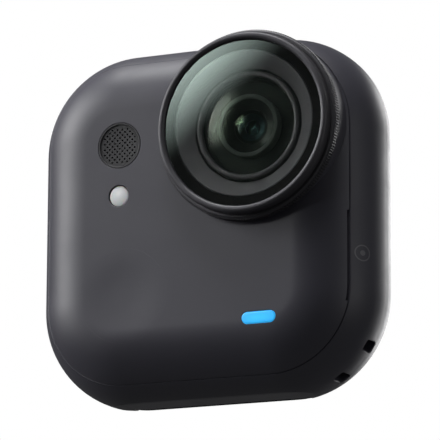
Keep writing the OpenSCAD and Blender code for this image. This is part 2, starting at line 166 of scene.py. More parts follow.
def new_piece(name: str, verts: Iterable[Sequence[float]], faces: Iterable[Sequence[int]]
              ) -> bpy.types.Object:
    """A mesh object at the origin, made of points in millimetres.

    Args:
        name: Name of the object and its mesh.
        verts: Its points, in millimetres.
        faces: The numbers of each face's points.

    Returns:
        The object, its faces turned outwards.
    """
    mesh = bpy.data.meshes.new(name)
    mesh.from_pydata([mm(*v) for v in verts], [], list(faces))
    work = bmesh.new()
    work.from_mesh(mesh)
    bmesh.ops.remove_doubles(work, verts=work.verts, dist=WELD)
    bmesh.ops.recalc_face_normals(work, faces=work.faces)
    work.to_mesh(mesh)
    work.free()
    piece = bpy.data.objects.new(name, mesh)
    bpy.context.scene.collection.objects.link(piece)
    return piece


def belt(a: int, b: int, count: int) -> list[tuple[int, ...]]:
    """The faces between two rings of points, given where each ring starts."""
    return [(a + i, a + (i + 1) % count, b + (i + 1) % count, b + i) for i in range(count)]


def stacked(name: str, rings: Sequence[Sequence[Sequence[float]]]) -> bpy.types.Object:
    """A closed mesh skinned over rings of equal length, with flat caps on the first and last.

    Args:
        name: Name of the piece.
        rings: Rings with as many points as each other.

    Returns:
        The object.
    """
    count = len(rings[0])
    verts = [p for ring in rings for p in ring]
    faces = [tuple(range(count))[::-1]]
    for r in range(len(rings) - 1):
        faces += belt(r * count, (r + 1) * count, count)
    faces.append(tuple(range((len(rings) - 1) * count, len(rings) * count)))
    return new_piece(name, verts, faces)


def prism(outline: Sequence[Point], x: float, z: float, near: float, far: float
          ) -> bpy.types.Object:
    """A straight tool parallel to Y, with its middle at x and z, from near to far."""
    return stacked("tool", [[(x + px, y, z + pz) for px, pz in outline] for y in (near, far)])


def plate(name: str, outline: Callable[[float], list[Point]], x: float, z: float, near: float,
          far: float, edge: float = 0.05, steps: int = 3) -> bpy.types.Object:
    """A plate parallel to the front face with rounded rims.

    Args:
        name: Name of the piece.
        outline: Gives the outline for an inset.
        x: Middle of the plate to the right.
        z: Middle of the plate upwards.
        near: Y of its front face.
        far: Y of its back face.
        edge: Radius of its rims.
        steps: Chords across each rim.

    Returns:
        The object.
    """
    bends = [radians(90 * i / steps) for i in range(steps + 1)]
    ways = [(edge * (1 - sin(a)), near + edge * (1 - cos(a))) for a in bends]
    ways += [(inset, far - (y - near)) for inset, y in reversed(ways)]
    return stacked(name, [[(x + px, y, z + pz) for px, pz in outline(inset)] for inset, y in ways])


def turned(name: str, section: Sequence[Point], x: float, z: float, front: float,
           segments: int = 192) -> bpy.types.Object:
    """A closed section turned about an axis along Y.

    Args:
        name: Name of the piece.
        section: Closed outline of (radius, rise) points. A radius of 0 is a pole.
        x: The axis to the right.
        z: The axis upwards.
        front: Y where rise is 0.
        segments: Steps round the axis.

    Returns:
        The object.
    """
    verts: list[tuple[float, float, float]] = []
    rows: list[list[int]] = []
    for radius, rise in section:
        around = 1 if radius < 1e-9 else segments
        rows.append([len(verts) + (i if around > 1 else 0) for i in range(segments)])
        verts += [(x + radius * cos(2 * pi * i / segments), front - rise,
                   z + radius * sin(2 * pi * i / segments)) for i in range(around)]
    faces = []
    for row, after in zip(rows, rows[1:] + rows[:1]):
        for i in range(segments):
            j = (i + 1) % segments
            corner = list(dict.fromkeys((row[i], row[j], after[j], after[i])))
            if len(corner) > 2:
                faces.append(tuple(corner))
    return new_piece(name, verts, faces)


def carved(piece: bpy.types.Object, steps: Sequence[tuple[Step, bpy.types.Object]]
           ) -> bpy.types.Object:
    """The piece after boolean steps with tools that are then thrown away.

    Args:
        piece: The piece to work on.
        steps: (what to do, tool) pairs, in order.

    Returns:
        The same object with its new mesh.
    """
    for step, tool in steps:
        work = piece.modifiers.new("work", "BOOLEAN")
        work.solver = "EXACT"
        work.operation = step.value
        work.object = tool
    fix_mesh(piece)
    for tool in {tool for _, tool in steps}:
        bpy.data.objects.remove(tool)
    return piece


def fix_mesh(piece: bpy.types.Object) -> None:
    """Makes the result of the piece's modifiers its plain mesh.

    Args:
        piece: The piece to work on.
    """
    graph = bpy.context.evaluated_depsgraph_get()
    graph.update()
    name = piece.data.name
    mesh = bpy.data.meshes.new_from_object(piece.evaluated_get(graph))
    piece.modifiers.clear()
    old = piece.data
    piece.data = mesh
    bpy.data.meshes.remove(old)
    mesh.name = name


def smooth(piece: bpy.types.Object, angle: float = 35.0) -> None:
    """Shades a piece smooth, with flat faces kept flat and steep edges kept crisp.

    Args:
        piece: The piece to shade.
        angle: Edges steeper than this, in degrees, stay crisp.
    """
    for face in piece.data.polygons:
        face.use_smooth = True
    piece.data.set_sharp_from_angle(angle=radians(angle))
    weigh = piece.modifiers.new("weigh", "WEIGHTED_NORMAL")
    weigh.keep_sharp = True
    weigh.weight = 100
    fix_mesh(piece)


def dress(piece: bpy.types.Object, finish: "Finish", body: Body,
          stands_for: Sequence[str] = ()) -> bpy.types.Object:
    """Gives a finished piece its material and body, and hides the nodes it stands for.

    Args:
        piece: The finished piece.
        finish: Its finish.
        body: The body it rides on.
        stands_for: The nodes it replaces.

    Returns:
        The same object.
    """
    piece.data.materials.clear()
    piece.data.materials.append(finish.material())
    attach(piece, body.value)
    if stands_for:
        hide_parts(*stands_for)
    log.info("%s: %d faces on %s", piece.name, len(piece.data.polygons), body.value)
    return piece


# --------------------------------------------------------------------------- node trees


class Tree:
    """Short hand for building one node tree."""

    def __init__(self, tree: bpy.types.NodeTree) -> None:
        """Starts on an empty tree."""
        self.tree = tree
        tree.nodes.clear()

    def add(self, kind: str, inputs: dict | None = None, **settings: object) -> bpy.types.Node:
        """A node.

        Args:
            kind: Blender's name of the node type.
            inputs: Value, or output socket to link, for each input name or number.
            settings: Properties of the node.

        Returns:
            The node.
        """
        node = self.tree.nodes.new(kind)
        for key, value in settings.items():
            setattr(node, key, value)
        for key, value in (inputs or {}).items():
            if isinstance(value, bpy.types.NodeSocket):
                self.tree.links.new(value, node.inputs[key])
            else:
                node.inputs[key].default_value = value
        return node

    def math(self, operation: str, *values: object, clamp: bool = False) -> bpy.types.NodeSocket:
        """The result of a Math node.

        Args:
            operation: What the node does, in Blender's word.
            values: Its numbers or sockets, in order.
            clamp: Whether the result stays between 0 and 1.

        Returns:
            The node's output.
        """
        node = self.add("ShaderNodeMath", dict(enumerate(values)), operation=operation)
        node.use_clamp = clamp
        return node.outputs[0]

    def length(self, *parts: bpy.types.NodeSocket) -> bpy.types.NodeSocket:
        """The length of a flat vector from its two parts."""
        squares = [self.math("MULTIPLY", part, part) for part in parts]
        return self.math("SQRT", self.math("ADD", *squares))

    def mix(self, amount: bpy.types.NodeSocket, first: object, second: object
            ) -> bpy.types.NodeSocket:
        """Two colours mixed by an amount, where 0 is all the first."""
        return self.add("ShaderNodeMix", {0: amount, 6: first, 7: second},
                        data_type="RGBA").outputs[2]

    def socket(self, name: str, kind: Kind, way: Way = Way.IN, default: object = None
               ) -> None:
        """Adds a named input or output to the group.

        Args:
            name: Its name.
            kind: What it carries.
            way: Which side it is on.
            default: Its value when nothing sets it.
        """
        made = self.tree.interface.new_socket(name=name, in_out=way.value,
                                              socket_type=kind.value)
        if default is not None:
            made.default_value = default


class Groups:
    """Shader node groups that several finishes share, each built once."""

    made: dict[str, bpy.types.NodeTree] = {}

    @classmethod
    def get(cls, maker: Callable[[Tree], None]) -> bpy.types.NodeTree:
        """The group that a method of this class builds.

        Args:
            maker: The method.

        Returns:
            The group, built on first use.
        """
        name = maker.__name__
        if name not in cls.made:
            tree = bpy.data.node_groups.new(name, "ShaderNodeTree")
            maker(Tree(tree))
            cls.made[name] = tree
        return cls.made[name]

    @staticmethod
    def moulded_grain(t: Tree) -> None:
        """Fine spark-eroded grain with faint blotches: varying colour, roughness and height.

        Args:
            t: The group's tree.
        """
        for name, default in (("Grain Size", 9000.0), ("Blotch Size", 90.0), ("Roughness", 0.5),
                              ("Roughness Spread", 0.06), ("Tone Spread", 0.08)):
            t.socket(name, Kind.FLOAT, default=default)
        t.socket("Color", Kind.COLOR, default=(0.1, 0.1, 0.1, 1))
        for name, kind in (("Color", Kind.COLOR), ("Roughness", Kind.FLOAT),
                           ("Height", Kind.FLOAT)):
            t.socket(name, kind, Way.OUT)
        given = t.add("NodeGroupInput").outputs
        place = t.add("ShaderNodeTexCoord").outputs["Object"]
        grain = t.add("ShaderNodeTexNoise", {"Vector": place, "Scale": given["Grain Size"],
                                             "Detail": 2.0, "Roughness": 0.6}).outputs["Fac"]
        blotch = t.add("ShaderNodeTexNoise", {"Vector": place, "Scale": given["Blotch Size"],
                                              "Detail": 4.0, "Roughness": 0.55}).outputs["Fac"]
        shift = t.math("SUBTRACT", blotch, 0.5)
        fleck = t.math("SUBTRACT", grain, 0.5)
        tone = t.math("MULTIPLY_ADD", shift, given["Tone Spread"], 1.0)
        tone = t.math("MULTIPLY_ADD", fleck, given["Tone Spread"], tone)
        shade = t.add("ShaderNodeVectorMath", {0: given["Color"], "Scale": tone},
                      operation="SCALE").outputs["Vector"]
        rough = t.math("MULTIPLY_ADD", shift, given["Roughness Spread"], given["Roughness"])
        t.add("NodeGroupOutput", {"Color": shade, "Roughness": rough, "Height": grain})

    @staticmethod
    def turned_lines(t: Tree) -> None:
        """Fine lines round the lens axis, as a lathe leaves them: a value and a height.

        Args:
            t: The group's tree.
        """
        for name, default in (("Axis X", 0.0), ("Axis Z", 0.0), ("Pitch", 12000.0)):
            t.socket(name, Kind.FLOAT, default=default)
        for name in ("Value", "Height"):
            t.socket(name, Kind.FLOAT, Way.OUT)
        given = t.add("NodeGroupInput").outputs
        place = t.add("ShaderNodeTexCoord").outputs["Object"]
        parts = t.add("ShaderNodeSeparateXYZ", {0: place}).outputs
        dx = t.math("SUBTRACT", parts["X"], given["Axis X"])
        dz = t.math("SUBTRACT", parts["Z"], given["Axis Z"])
        reach = t.length(dx, dz)
        along = t.math("ADD", reach, t.math("MULTIPLY", parts["Y"], 0.7))
        lines = t.add("ShaderNodeTexNoise", {"W": along, "Scale": given["Pitch"], "Detail": 1.0},
                      noise_dimensions="1D").outputs["Fac"]
        t.add("NodeGroupOutput", {"Value": lines, "Height": lines})

    @staticmethod
    def smudges(t: Tree) -> None:
        """Faint wiping marks and dust: a mask from 0 to 1.

        Args:
            t: The group's tree.
        """
        t.socket("Size", Kind.FLOAT, default=160.0)
        t.socket("Amount", Kind.FLOAT, default=0.5)
        t.socket("Mask", Kind.FLOAT, Way.OUT)
        given = t.add("NodeGroupInput").outputs
        place = t.add("ShaderNodeTexCoord").outputs["Object"]
        stretch = t.add("ShaderNodeMapping", {"Vector": place, "Rotation": (0.2, 0.3, 0.5),
                                              "Scale": (1.0, 1.0, 2.2)}).outputs["Vector"]
        marks = t.add("ShaderNodeTexNoise", {"Vector": stretch, "Scale": given["Size"],
                                             "Detail": 5.0, "Roughness": 0.62,
                                             "Distortion": 0.4}).outputs["Fac"]
        edge = t.add("ShaderNodeMapRange", {"Value": marks, "From Min": 0.42, "From Max": 0.72},
                     interpolation_type="SMOOTHSTEP").outputs["Result"]
        t.add("NodeGroupOutput", {"Mask": t.math("MULTIPLY", edge, given["Amount"])})


MATERIALS: dict[str, bpy.types.Material] = {}


def rgba(color: Color) -> tuple[float, float, float, float]:
    """A colour with full alpha."""
    return (*color, 1.0)


@dataclass(frozen=True)
class Finish:
    """What every finish has: a name and one material, built once."""

    name: str
    color: Color

    def material(self) -> bpy.types.Material:
        """The finish's material, made on first use.

        Returns:
            The material.
        """
        if self.name not in MATERIALS:
            made = bpy.data.materials.new(self.name)
            made.use_nodes = True
            made.diffuse_color = rgba(self.color)
            self.build(Tree(made.node_tree))
            MATERIALS[self.name] = made
        return MATERIALS[self.name]

    def build(self, t: Tree) -> None:
        """Builds the nodes."""
        raise NotImplementedError

    def group(self, t: Tree, maker: Callable[[Tree], None], **inputs: object) -> bpy.types.Node:
        """A shared group placed in this material with its own values.

        Args:
            t: The material's tree.
            maker: The method that builds the group.
            inputs: A value for each input, with _ for a space.

        Returns:
            The group's node.
        """
        node = t.add("ShaderNodeGroup", node_tree=Groups.get(maker))
        for key, value in inputs.items():
            node.inputs[key.replace("_", " ")].default_value = value
        return node

    def surface(self, t: Tree, inputs: dict) -> bpy.types.Node:
        """The Principled shader, linked to the material's output.

        Args:
            t: The material's tree.
            inputs: A value or socket for each of its inputs.

        Returns:
            The shader's node.
        """
        shader = t.add("ShaderNodeBsdfPrincipled", inputs)
        t.add("ShaderNodeOutputMaterial", {"Surface": shader.outputs[0]})
        return shader


@dataclass(frozen=True)
class Mark:
    """A small printed sign on a curved side: a ring with a dot in it."""

    y: float
    z: float
    ring: float = 0.95
    line: float = 0.15
    dot: float = 0.34
    strength: float = 0.11
    from_x: float = 15.0
    color: Color = (0.85, 0.85, 0.88)

    def mask(self, t: Tree, place: bpy.types.NodeSocket) -> bpy.types.NodeSocket:
        """How much of the mark covers a point, from 0 to 1, on the +X side only.

        Args:
            t: The material's tree.
            place: Socket with the point.

        Returns:
            Socket with the mask.
        """
        parts = t.add("ShaderNodeSeparateXYZ", {0: place}).outputs
        dy = t.math("SUBTRACT", parts["Y"], self.y * MM)
        dz = t.math("SUBTRACT", parts["Z"], self.z * MM)
        reach = t.length(dy, dz)
        ring = t.math("LESS_THAN", t.math("ABSOLUTE", t.math("SUBTRACT", reach, self.ring * MM)),
                      self.line / 2 * MM)
        dot = t.math("LESS_THAN", reach, self.dot * MM)
        side = t.math("GREATER_THAN", parts["X"], self.from_x * MM)
        both = t.math("MAXIMUM", ring, dot)
        return t.math("MULTIPLY", t.math("MULTIPLY", both, side), self.strength)


@dataclass(frozen=True)
class Plastic(Finish):
    """Moulded plastic with a fine grain."""

    roughness: float = 0.5
    grain: float = 0.00002
    grain_size: float = 7000.0
    tone: float = 0.1
    coat: float = 0.0
    specular: float = 0.5
    mark: Mark | None = None

    def build(self, t: Tree) -> None:
        """Builds the nodes.

        Args:
            t: The material's tree.
        """
        skin = self.group(t, Groups.moulded_grain, Color=rgba(self.color), Roughness=self.roughness,
                          Grain_Size=self.grain_size, Tone_Spread=self.tone)
        wiped = self.group(t, Groups.smudges, Amount=0.06)
        rough = t.math("ADD", skin.outputs["Roughness"], wiped.outputs["Mask"], clamp=True)
        color = skin.outputs["Color"]
        if self.mark:
            place = t.add("ShaderNodeTexCoord").outputs["Object"]
            color = t.mix(self.mark.mask(t, place), color, rgba(self.mark.color))
        bump = t.add("ShaderNodeBump", {"Height": skin.outputs["Height"], "Strength": 0.35,
                                        "Distance": self.grain}).outputs["Normal"]
        self.surface(t, {"Base Color": color, "Roughness": rough, "Normal": bump,
                         "Coat Weight": self.coat, "Coat Roughness": 0.25,
                         "Specular IOR Level": self.specular})


@dataclass(frozen=True)
class Metal(Finish):
    """Anodised or plated metal, with lathe lines round the lens axis where it was turned."""

    roughness: float = 0.3
    metallic: float = 1.0
    axis: Point = (0.0, 0.0)
    pitch: float = 14000.0
    lines: float = 0.000004
    coat: float = 0.0

    def build(self, t: Tree) -> None:
        """Builds the nodes.

        Args:
            t: The material's tree.
        """
        cut = self.group(t, Groups.turned_lines, Axis_X=self.axis[0] * MM, Axis_Z=self.axis[1] * MM,
                         Pitch=self.pitch)
        skin = self.group(t, Groups.moulded_grain, Color=rgba(self.color), Roughness=self.roughness,
                          Grain_Size=12000.0, Tone_Spread=0.12)
        wiped = self.group(t, Groups.smudges, Amount=0.08, Size=300.0)
        rough = t.math("MULTIPLY_ADD", cut.outputs["Value"], 0.08, skin.outputs["Roughness"])
        rough = t.math("ADD", rough, wiped.outputs["Mask"], clamp=True)
        bump = t.add("ShaderNodeBump", {"Height": cut.outputs["Height"], "Strength": 0.3,
                                        "Distance": self.lines}).outputs["Normal"]
        self.surface(t, {"Base Color": skin.outputs["Color"], "Roughness": rough, "Normal": bump,
                         "Metallic": self.metallic, "Coat Weight": self.coat,
                         "Coat Roughness": 0.15})


@dataclass(frozen=True)
class Glass(Finish):
    """Coated optical glass that lets light through to what is behind it."""

    roughness: float = 0.0
    ior: float = 1.45
    coating: Color = (0.45, 1.0, 0.7)
    reflection: float = 0.5
    shade: Color = (1.0, 1.0, 1.0)
    dust: Color = (0.5, 0.52, 0.5)

    def build(self, t: Tree) -> None:
        """Builds the nodes.

        Args:
            t: The material's tree.
        """
        wiped = self.group(t, Groups.smudges, Amount=0.04, Size=220.0)
        color = t.mix(wiped.outputs["Mask"], rgba(self.color), rgba(self.dust))
        glass = t.add("ShaderNodeBsdfPrincipled", {
            "Base Color": color, "Transmission Weight": 1.0, "IOR": self.ior,
            "Roughness": self.roughness,
            "Specular Tint": rgba([c * self.reflection for c in self.coating])})
        clear = t.add("ShaderNodeBsdfTransparent", {"Color": rgba(self.shade)})
        shadow = t.add("ShaderNodeLightPath").outputs["Is Shadow Ray"]
        mix = t.add("ShaderNodeMixShader", {0: shadow, 1: glass.outputs[0], 2: clear.outputs[0]})
        t.add("ShaderNodeOutputMaterial", {"Surface": mix.outputs[0]})


@dataclass(frozen=True)
class Lamp(Finish):
    """A milky window, lit from behind or not."""

    light: Color = (0.0, 0.0, 0.0)
    strength: float = 0.0
    centre: Point = (0.0, 0.0)
    reach: Point = (1.0, 1.0)
    roughness: float = 0.28

    def build(self, t: Tree) -> None:
        """Builds the nodes.

        Args:
            t: The material's tree.
        """
        skin = self.group(t, Groups.moulded_grain, Color=rgba(self.color), Roughness=self.roughness,
                          Grain_Size=5000.0, Tone_Spread=0.05)
        place = t.add("ShaderNodeTexCoord").outputs["Object"]
        parts = t.add("ShaderNodeSeparateXYZ", {0: place}).outputs
        dx, dz = (t.math("DIVIDE", t.math("SUBTRACT", parts[side], middle * MM), reach * MM)
                  for side, middle, reach in zip("XZ", self.centre, self.reach))
        away = t.length(dx, dz)
        glow = t.add("ShaderNodeMapRange", {"Value": away, "From Min": 0.2, "From Max": 1.25,
                                            "To Min": 1.0, "To Max": 0.62}).outputs["Result"]
        light = t.add("ShaderNodeVectorMath", {0: self.light, "Scale": glow},
                      operation="SCALE").outputs["Vector"]
        self.surface(t, {"Base Color": skin.outputs["Color"],
                         "Roughness": skin.outputs["Roughness"],
                         "Emission Color": light, "Emission Strength": self.strength,
                         "Subsurface Weight": 0.3, "Subsurface Scale": 0.0006, "Coat Weight": 0.2})


class Axis:
    """The lens axis, to the right of and above the middle of the back."""

    X = 8.65
    Z = 10.06


# --------------------------------------------------------------------------- finishes

COVER = Plastic("satin_cover", (0.05, 0.049, 0.064), roughness=0.42)
SHELL = Plastic("satin_shell", (0.05, 0.049, 0.064), roughness=0.42, mark=Mark(-10.6, -6.2))
GRILLE = Plastic("satin_grille", (0.012, 0.012, 0.015), roughness=0.55)
BLACK = Plastic("matt_black_plastic", (0.012, 0.012, 0.013), roughness=0.55)
BACK = Plastic("back_plate_plastic", (0.045, 0.044, 0.05), roughness=0.55)
PALE = Plastic("ivory_plastic", (0.66, 0.62, 0.5), roughness=0.45)
RUBBER = Plastic("seal_rubber", (0.014, 0.014, 0.015), roughness=0.78, grain_size=4000.0)
WRAP = Plastic("battery_film", (0.03, 0.11, 0.3), roughness=0.3, coat=0.4)
MASK = Plastic("solder_mask", (0.01, 0.09, 0.04), roughness=0.32, coat=0.3)
WEAVE = Plastic("woven_membrane", (0.7, 0.7, 0.67), roughness=0.9, grain_size=9000.0, tone=0.3)
RING = Metal("black_anodised_ring", (0.065, 0.064, 0.072), roughness=0.58, metallic=0.65,
             axis=(Axis.X, Axis.Z), coat=0.25)
BEAD = Metal("dark_bead", (0.085, 0.085, 0.088), roughness=0.4, metallic=0.55,
             axis=(Axis.X, Axis.Z))
SPACER = Metal("grey_spacer", (0.3, 0.3, 0.3), roughness=0.55, metallic=0.2,
               axis=(Axis.X, Axis.Z))
BEZEL = Metal("grey_anodised_bezel", (0.11, 0.11, 0.115), roughness=0.5, metallic=0.45,
              axis=(Axis.X, Axis.Z), lines=0.000008)
INNER = Metal("lens_black", (0.008, 0.009, 0.009), roughness=0.42, metallic=0.0,
              axis=(Axis.X, Axis.Z), lines=0.00001)
STEEL = Metal("satin_steel", (0.5, 0.5, 0.52), roughness=0.32)
COPPER = Metal("satin_copper", (0.72, 0.36, 0.2), roughness=0.36)
GOLD = Metal("gold_plate", (0.83, 0.6, 0.24), roughness=0.22)
GUARD_GLASS = Glass("coated_guard_glass", (0.97, 1.0, 0.985), ior=1.6,
                    coating=(0.8, 1.0, 0.92), reflection=1.0, shade=(0.35, 0.35, 0.35))
DOME_GLASS = Glass("dome_glass", (0.6, 0.67, 0.62), ior=1.5, coating=(0.62, 1.0, 0.5),
                   reflection=0.14, shade=(0.4, 0.4, 0.4))
DEEP_GLASS = Glass("deep_lens_glass", (0.75, 0.93, 0.98), ior=1.5, coating=(0.6, 0.95, 1.0),
                   reflection=0.25)
WHITE_LAMP = Lamp("milky_lamp", (0.74, 0.74, 0.75), light=(0.8, 0.8, 0.82), strength=0.02,
                  centre=(-9.46, 2.94), reach=(1.3, 1.3))
BLUE_LAMP = Lamp("blue_status_light", (0.05, 0.4, 0.85), light=(0.02, 0.44, 0.9), strength=0.86,
                 centre=(9.73, -14.0), reach=(2.3, 0.9))
CHIP = Plastic("sensor_face", (0.05, 0.08, 0.09), roughness=0.12, coat=1.0)
PRINT = Plastic("black_print", (0.006, 0.006, 0.006), roughness=0.7, specular=0.1)
APERTURE = Plastic("aperture_black", (0.01, 0.03, 0.035), roughness=0.35)


# --------------------------------------------------------------------------- the soft square body


@dataclass(frozen=True)
class BodyShape:
    """The outer form of the casing, in millimetres."""

    width: float = 46.0
    height: float = 45.9
    depth: float = 15.0
    corner: float = 12.9
    front_round: float = 8.9
    back_round: float = 5.6
    base_cut: float = 0.5
    corner_steps: int = 26
    straight_steps: int = 8
    touch: float = 0.012
    alike: float = 0.97

    @property
    def front(self) -> float:
        """Y of the flat front face."""
        return -self.depth

    @property
    def base(self) -> float:
        """Z of the flat base."""
        return -self.height / 2 + self.base_cut

    @property
    def middle(self) -> Point:
        """Corner centre in the +X +Z quarter."""
        return self.width / 2 - self.corner, self.height / 2 - self.corner

    def ring(self, inset: float, depth: float) -> list[tuple[float, float, float]]:
        """The body's outline, moved in by inset, at a depth behind the front face.

        Args:
            inset: How far in from the outline.
            depth: Depth behind the front face.

        Returns:
            The points of the ring.
        """
        cx, cz = self.middle
        radius = self.corner - inset
        turns = ((cx, cz, 0), (-cx, cz, 90), (-cx, -cz, 180), (cx, -cz, 270))
        outline: list[Point] = []
        for k, (x, z, start) in enumerate(turns):
            bend = arc((x, z), radius, start, start + 90, self.corner_steps)
            ahead = turns[(k + 1) % 4]
            first = (ahead[0] + radius * cos(radians(ahead[2])),
                     ahead[1] + radius * sin(radians(ahead[2])))
            last = bend[-1]
            outline += bend
            outline += [(last[0] + (first[0] - last[0]) * i / self.straight_steps,
                         last[1] + (first[1] - last[1]) * i / self.straight_steps)
                        for i in range(1, self.straight_steps)]
        return [(x, self.front + depth, z) for x, z in outline]

    def inset_at(self, x: float, z: float) -> tuple[float, float, float]:
        """Distance in from the outline and the outward direction there.

        Args:
            x: The point to the right.
            z: The point upwards.

        Returns:
            The distance in, and the direction's two parts.
        """
        cx, cz = self.middle
        sx, sz = (1 if x >= 0 else -1), (1 if z >= 0 else -1)
        px, pz = abs(x) - cx, abs(z) - cz
        if px > 0 and pz > 0:
            reach = hypot(px, pz)
            return self.corner - reach, sx * px / reach, sz * pz / reach
        if self.corner - px < self.corner - pz:
            return self.corner - px, float(sx), 0.0
        return self.corner - pz, 0.0, float(sz)

    def front_depth(self, x: float, z: float) -> float:
        """Depth of the outer face, seen from the front, at a point."""
        inset = min(max(self.inset_at(x, z)[0], 0.0), self.front_round)
        return self.front_round - sqrt(self.front_round ** 2 - (self.front_round - inset) ** 2)

    def normal(self, point: Vector) -> Vector | None:
        """Outward normal of the outer form at a point.

        Args:
            point: The point, in metres.

        Returns:
            The normal, or None where the point is off the form.
        """
        x, y, z = point / MM
        depth = y - self.front
        inset, dx, dz = self.inset_at(x, z)
        if inset < self.front_round and depth < self.front_round:
            out, fore = self.front_round - inset, self.front_round - depth
            if abs(hypot(out, fore) - self.front_round) > self.touch:
                return None
            return Vector((dx * out, -fore, dz * out)).normalized()
        if inset < self.back_round and self.depth - depth < self.back_round:
            out, aft = self.back_round - inset, self.back_round - (self.depth - depth)
            if abs(hypot(out, aft) - self.back_round) > self.touch:
                return None
            return Vector((dx * out, aft, dz * out)).normalized()
        if abs(inset) < self.touch:
            return Vector((dx, 0.0, dz))
        if abs(depth) < self.touch:
            return Vector((0.0, -1.0, 0.0))
        if abs(depth - self.depth) < self.touch:
            return Vector((0.0, 1.0, 0.0))
        return None

    def shade(self, piece: bpy.types.Object, angle: float = 30.0) -> None:
        """Shades a piece cut from the form, with the form's normals where its faces lie on it.

        Args:
            piece: The piece to shade.
            angle: Edges steeper than this, in degrees, stay crisp.
        """
        smooth(piece, angle)
        mesh = piece.data
        normals = [Vector(corner.vector) for corner in mesh.corner_normals]
        for face in mesh.polygons:
            for loop in face.loop_indices:
                found = self.normal(mesh.vertices[mesh.loops[loop].vertex_index].co)
                if found is not None and found.dot(face.normal) > self.alike:
                    normals[loop] = found
        mesh.normals_split_custom_set(normals)


def bevelled_rim(before: Point, corner: Point, after: Point, size: float, steps: int = 4
                 ) -> list[Point]:
    """Points that round a corner of a section between two of its neighbours.

    Args:
        before: The neighbour before it.
        corner: The corner.
        after: The neighbour after it.
        size: Distance from the corner to where the rounding starts.
        steps: Chords in the rounding.

    Returns:
        The points, both ends included.
    """
    here = Vector(corner)
    first = here + (Vector(before) - here).normalized() * size
    last = here + (Vector(after) - here).normalized() * size
    points = []
    for i in range(steps + 1):
        t = i / steps
        points.append(tuple(first * (1 - t) ** 2 + here * 2 * t * (1 - t) + last * t ** 2))
    return points


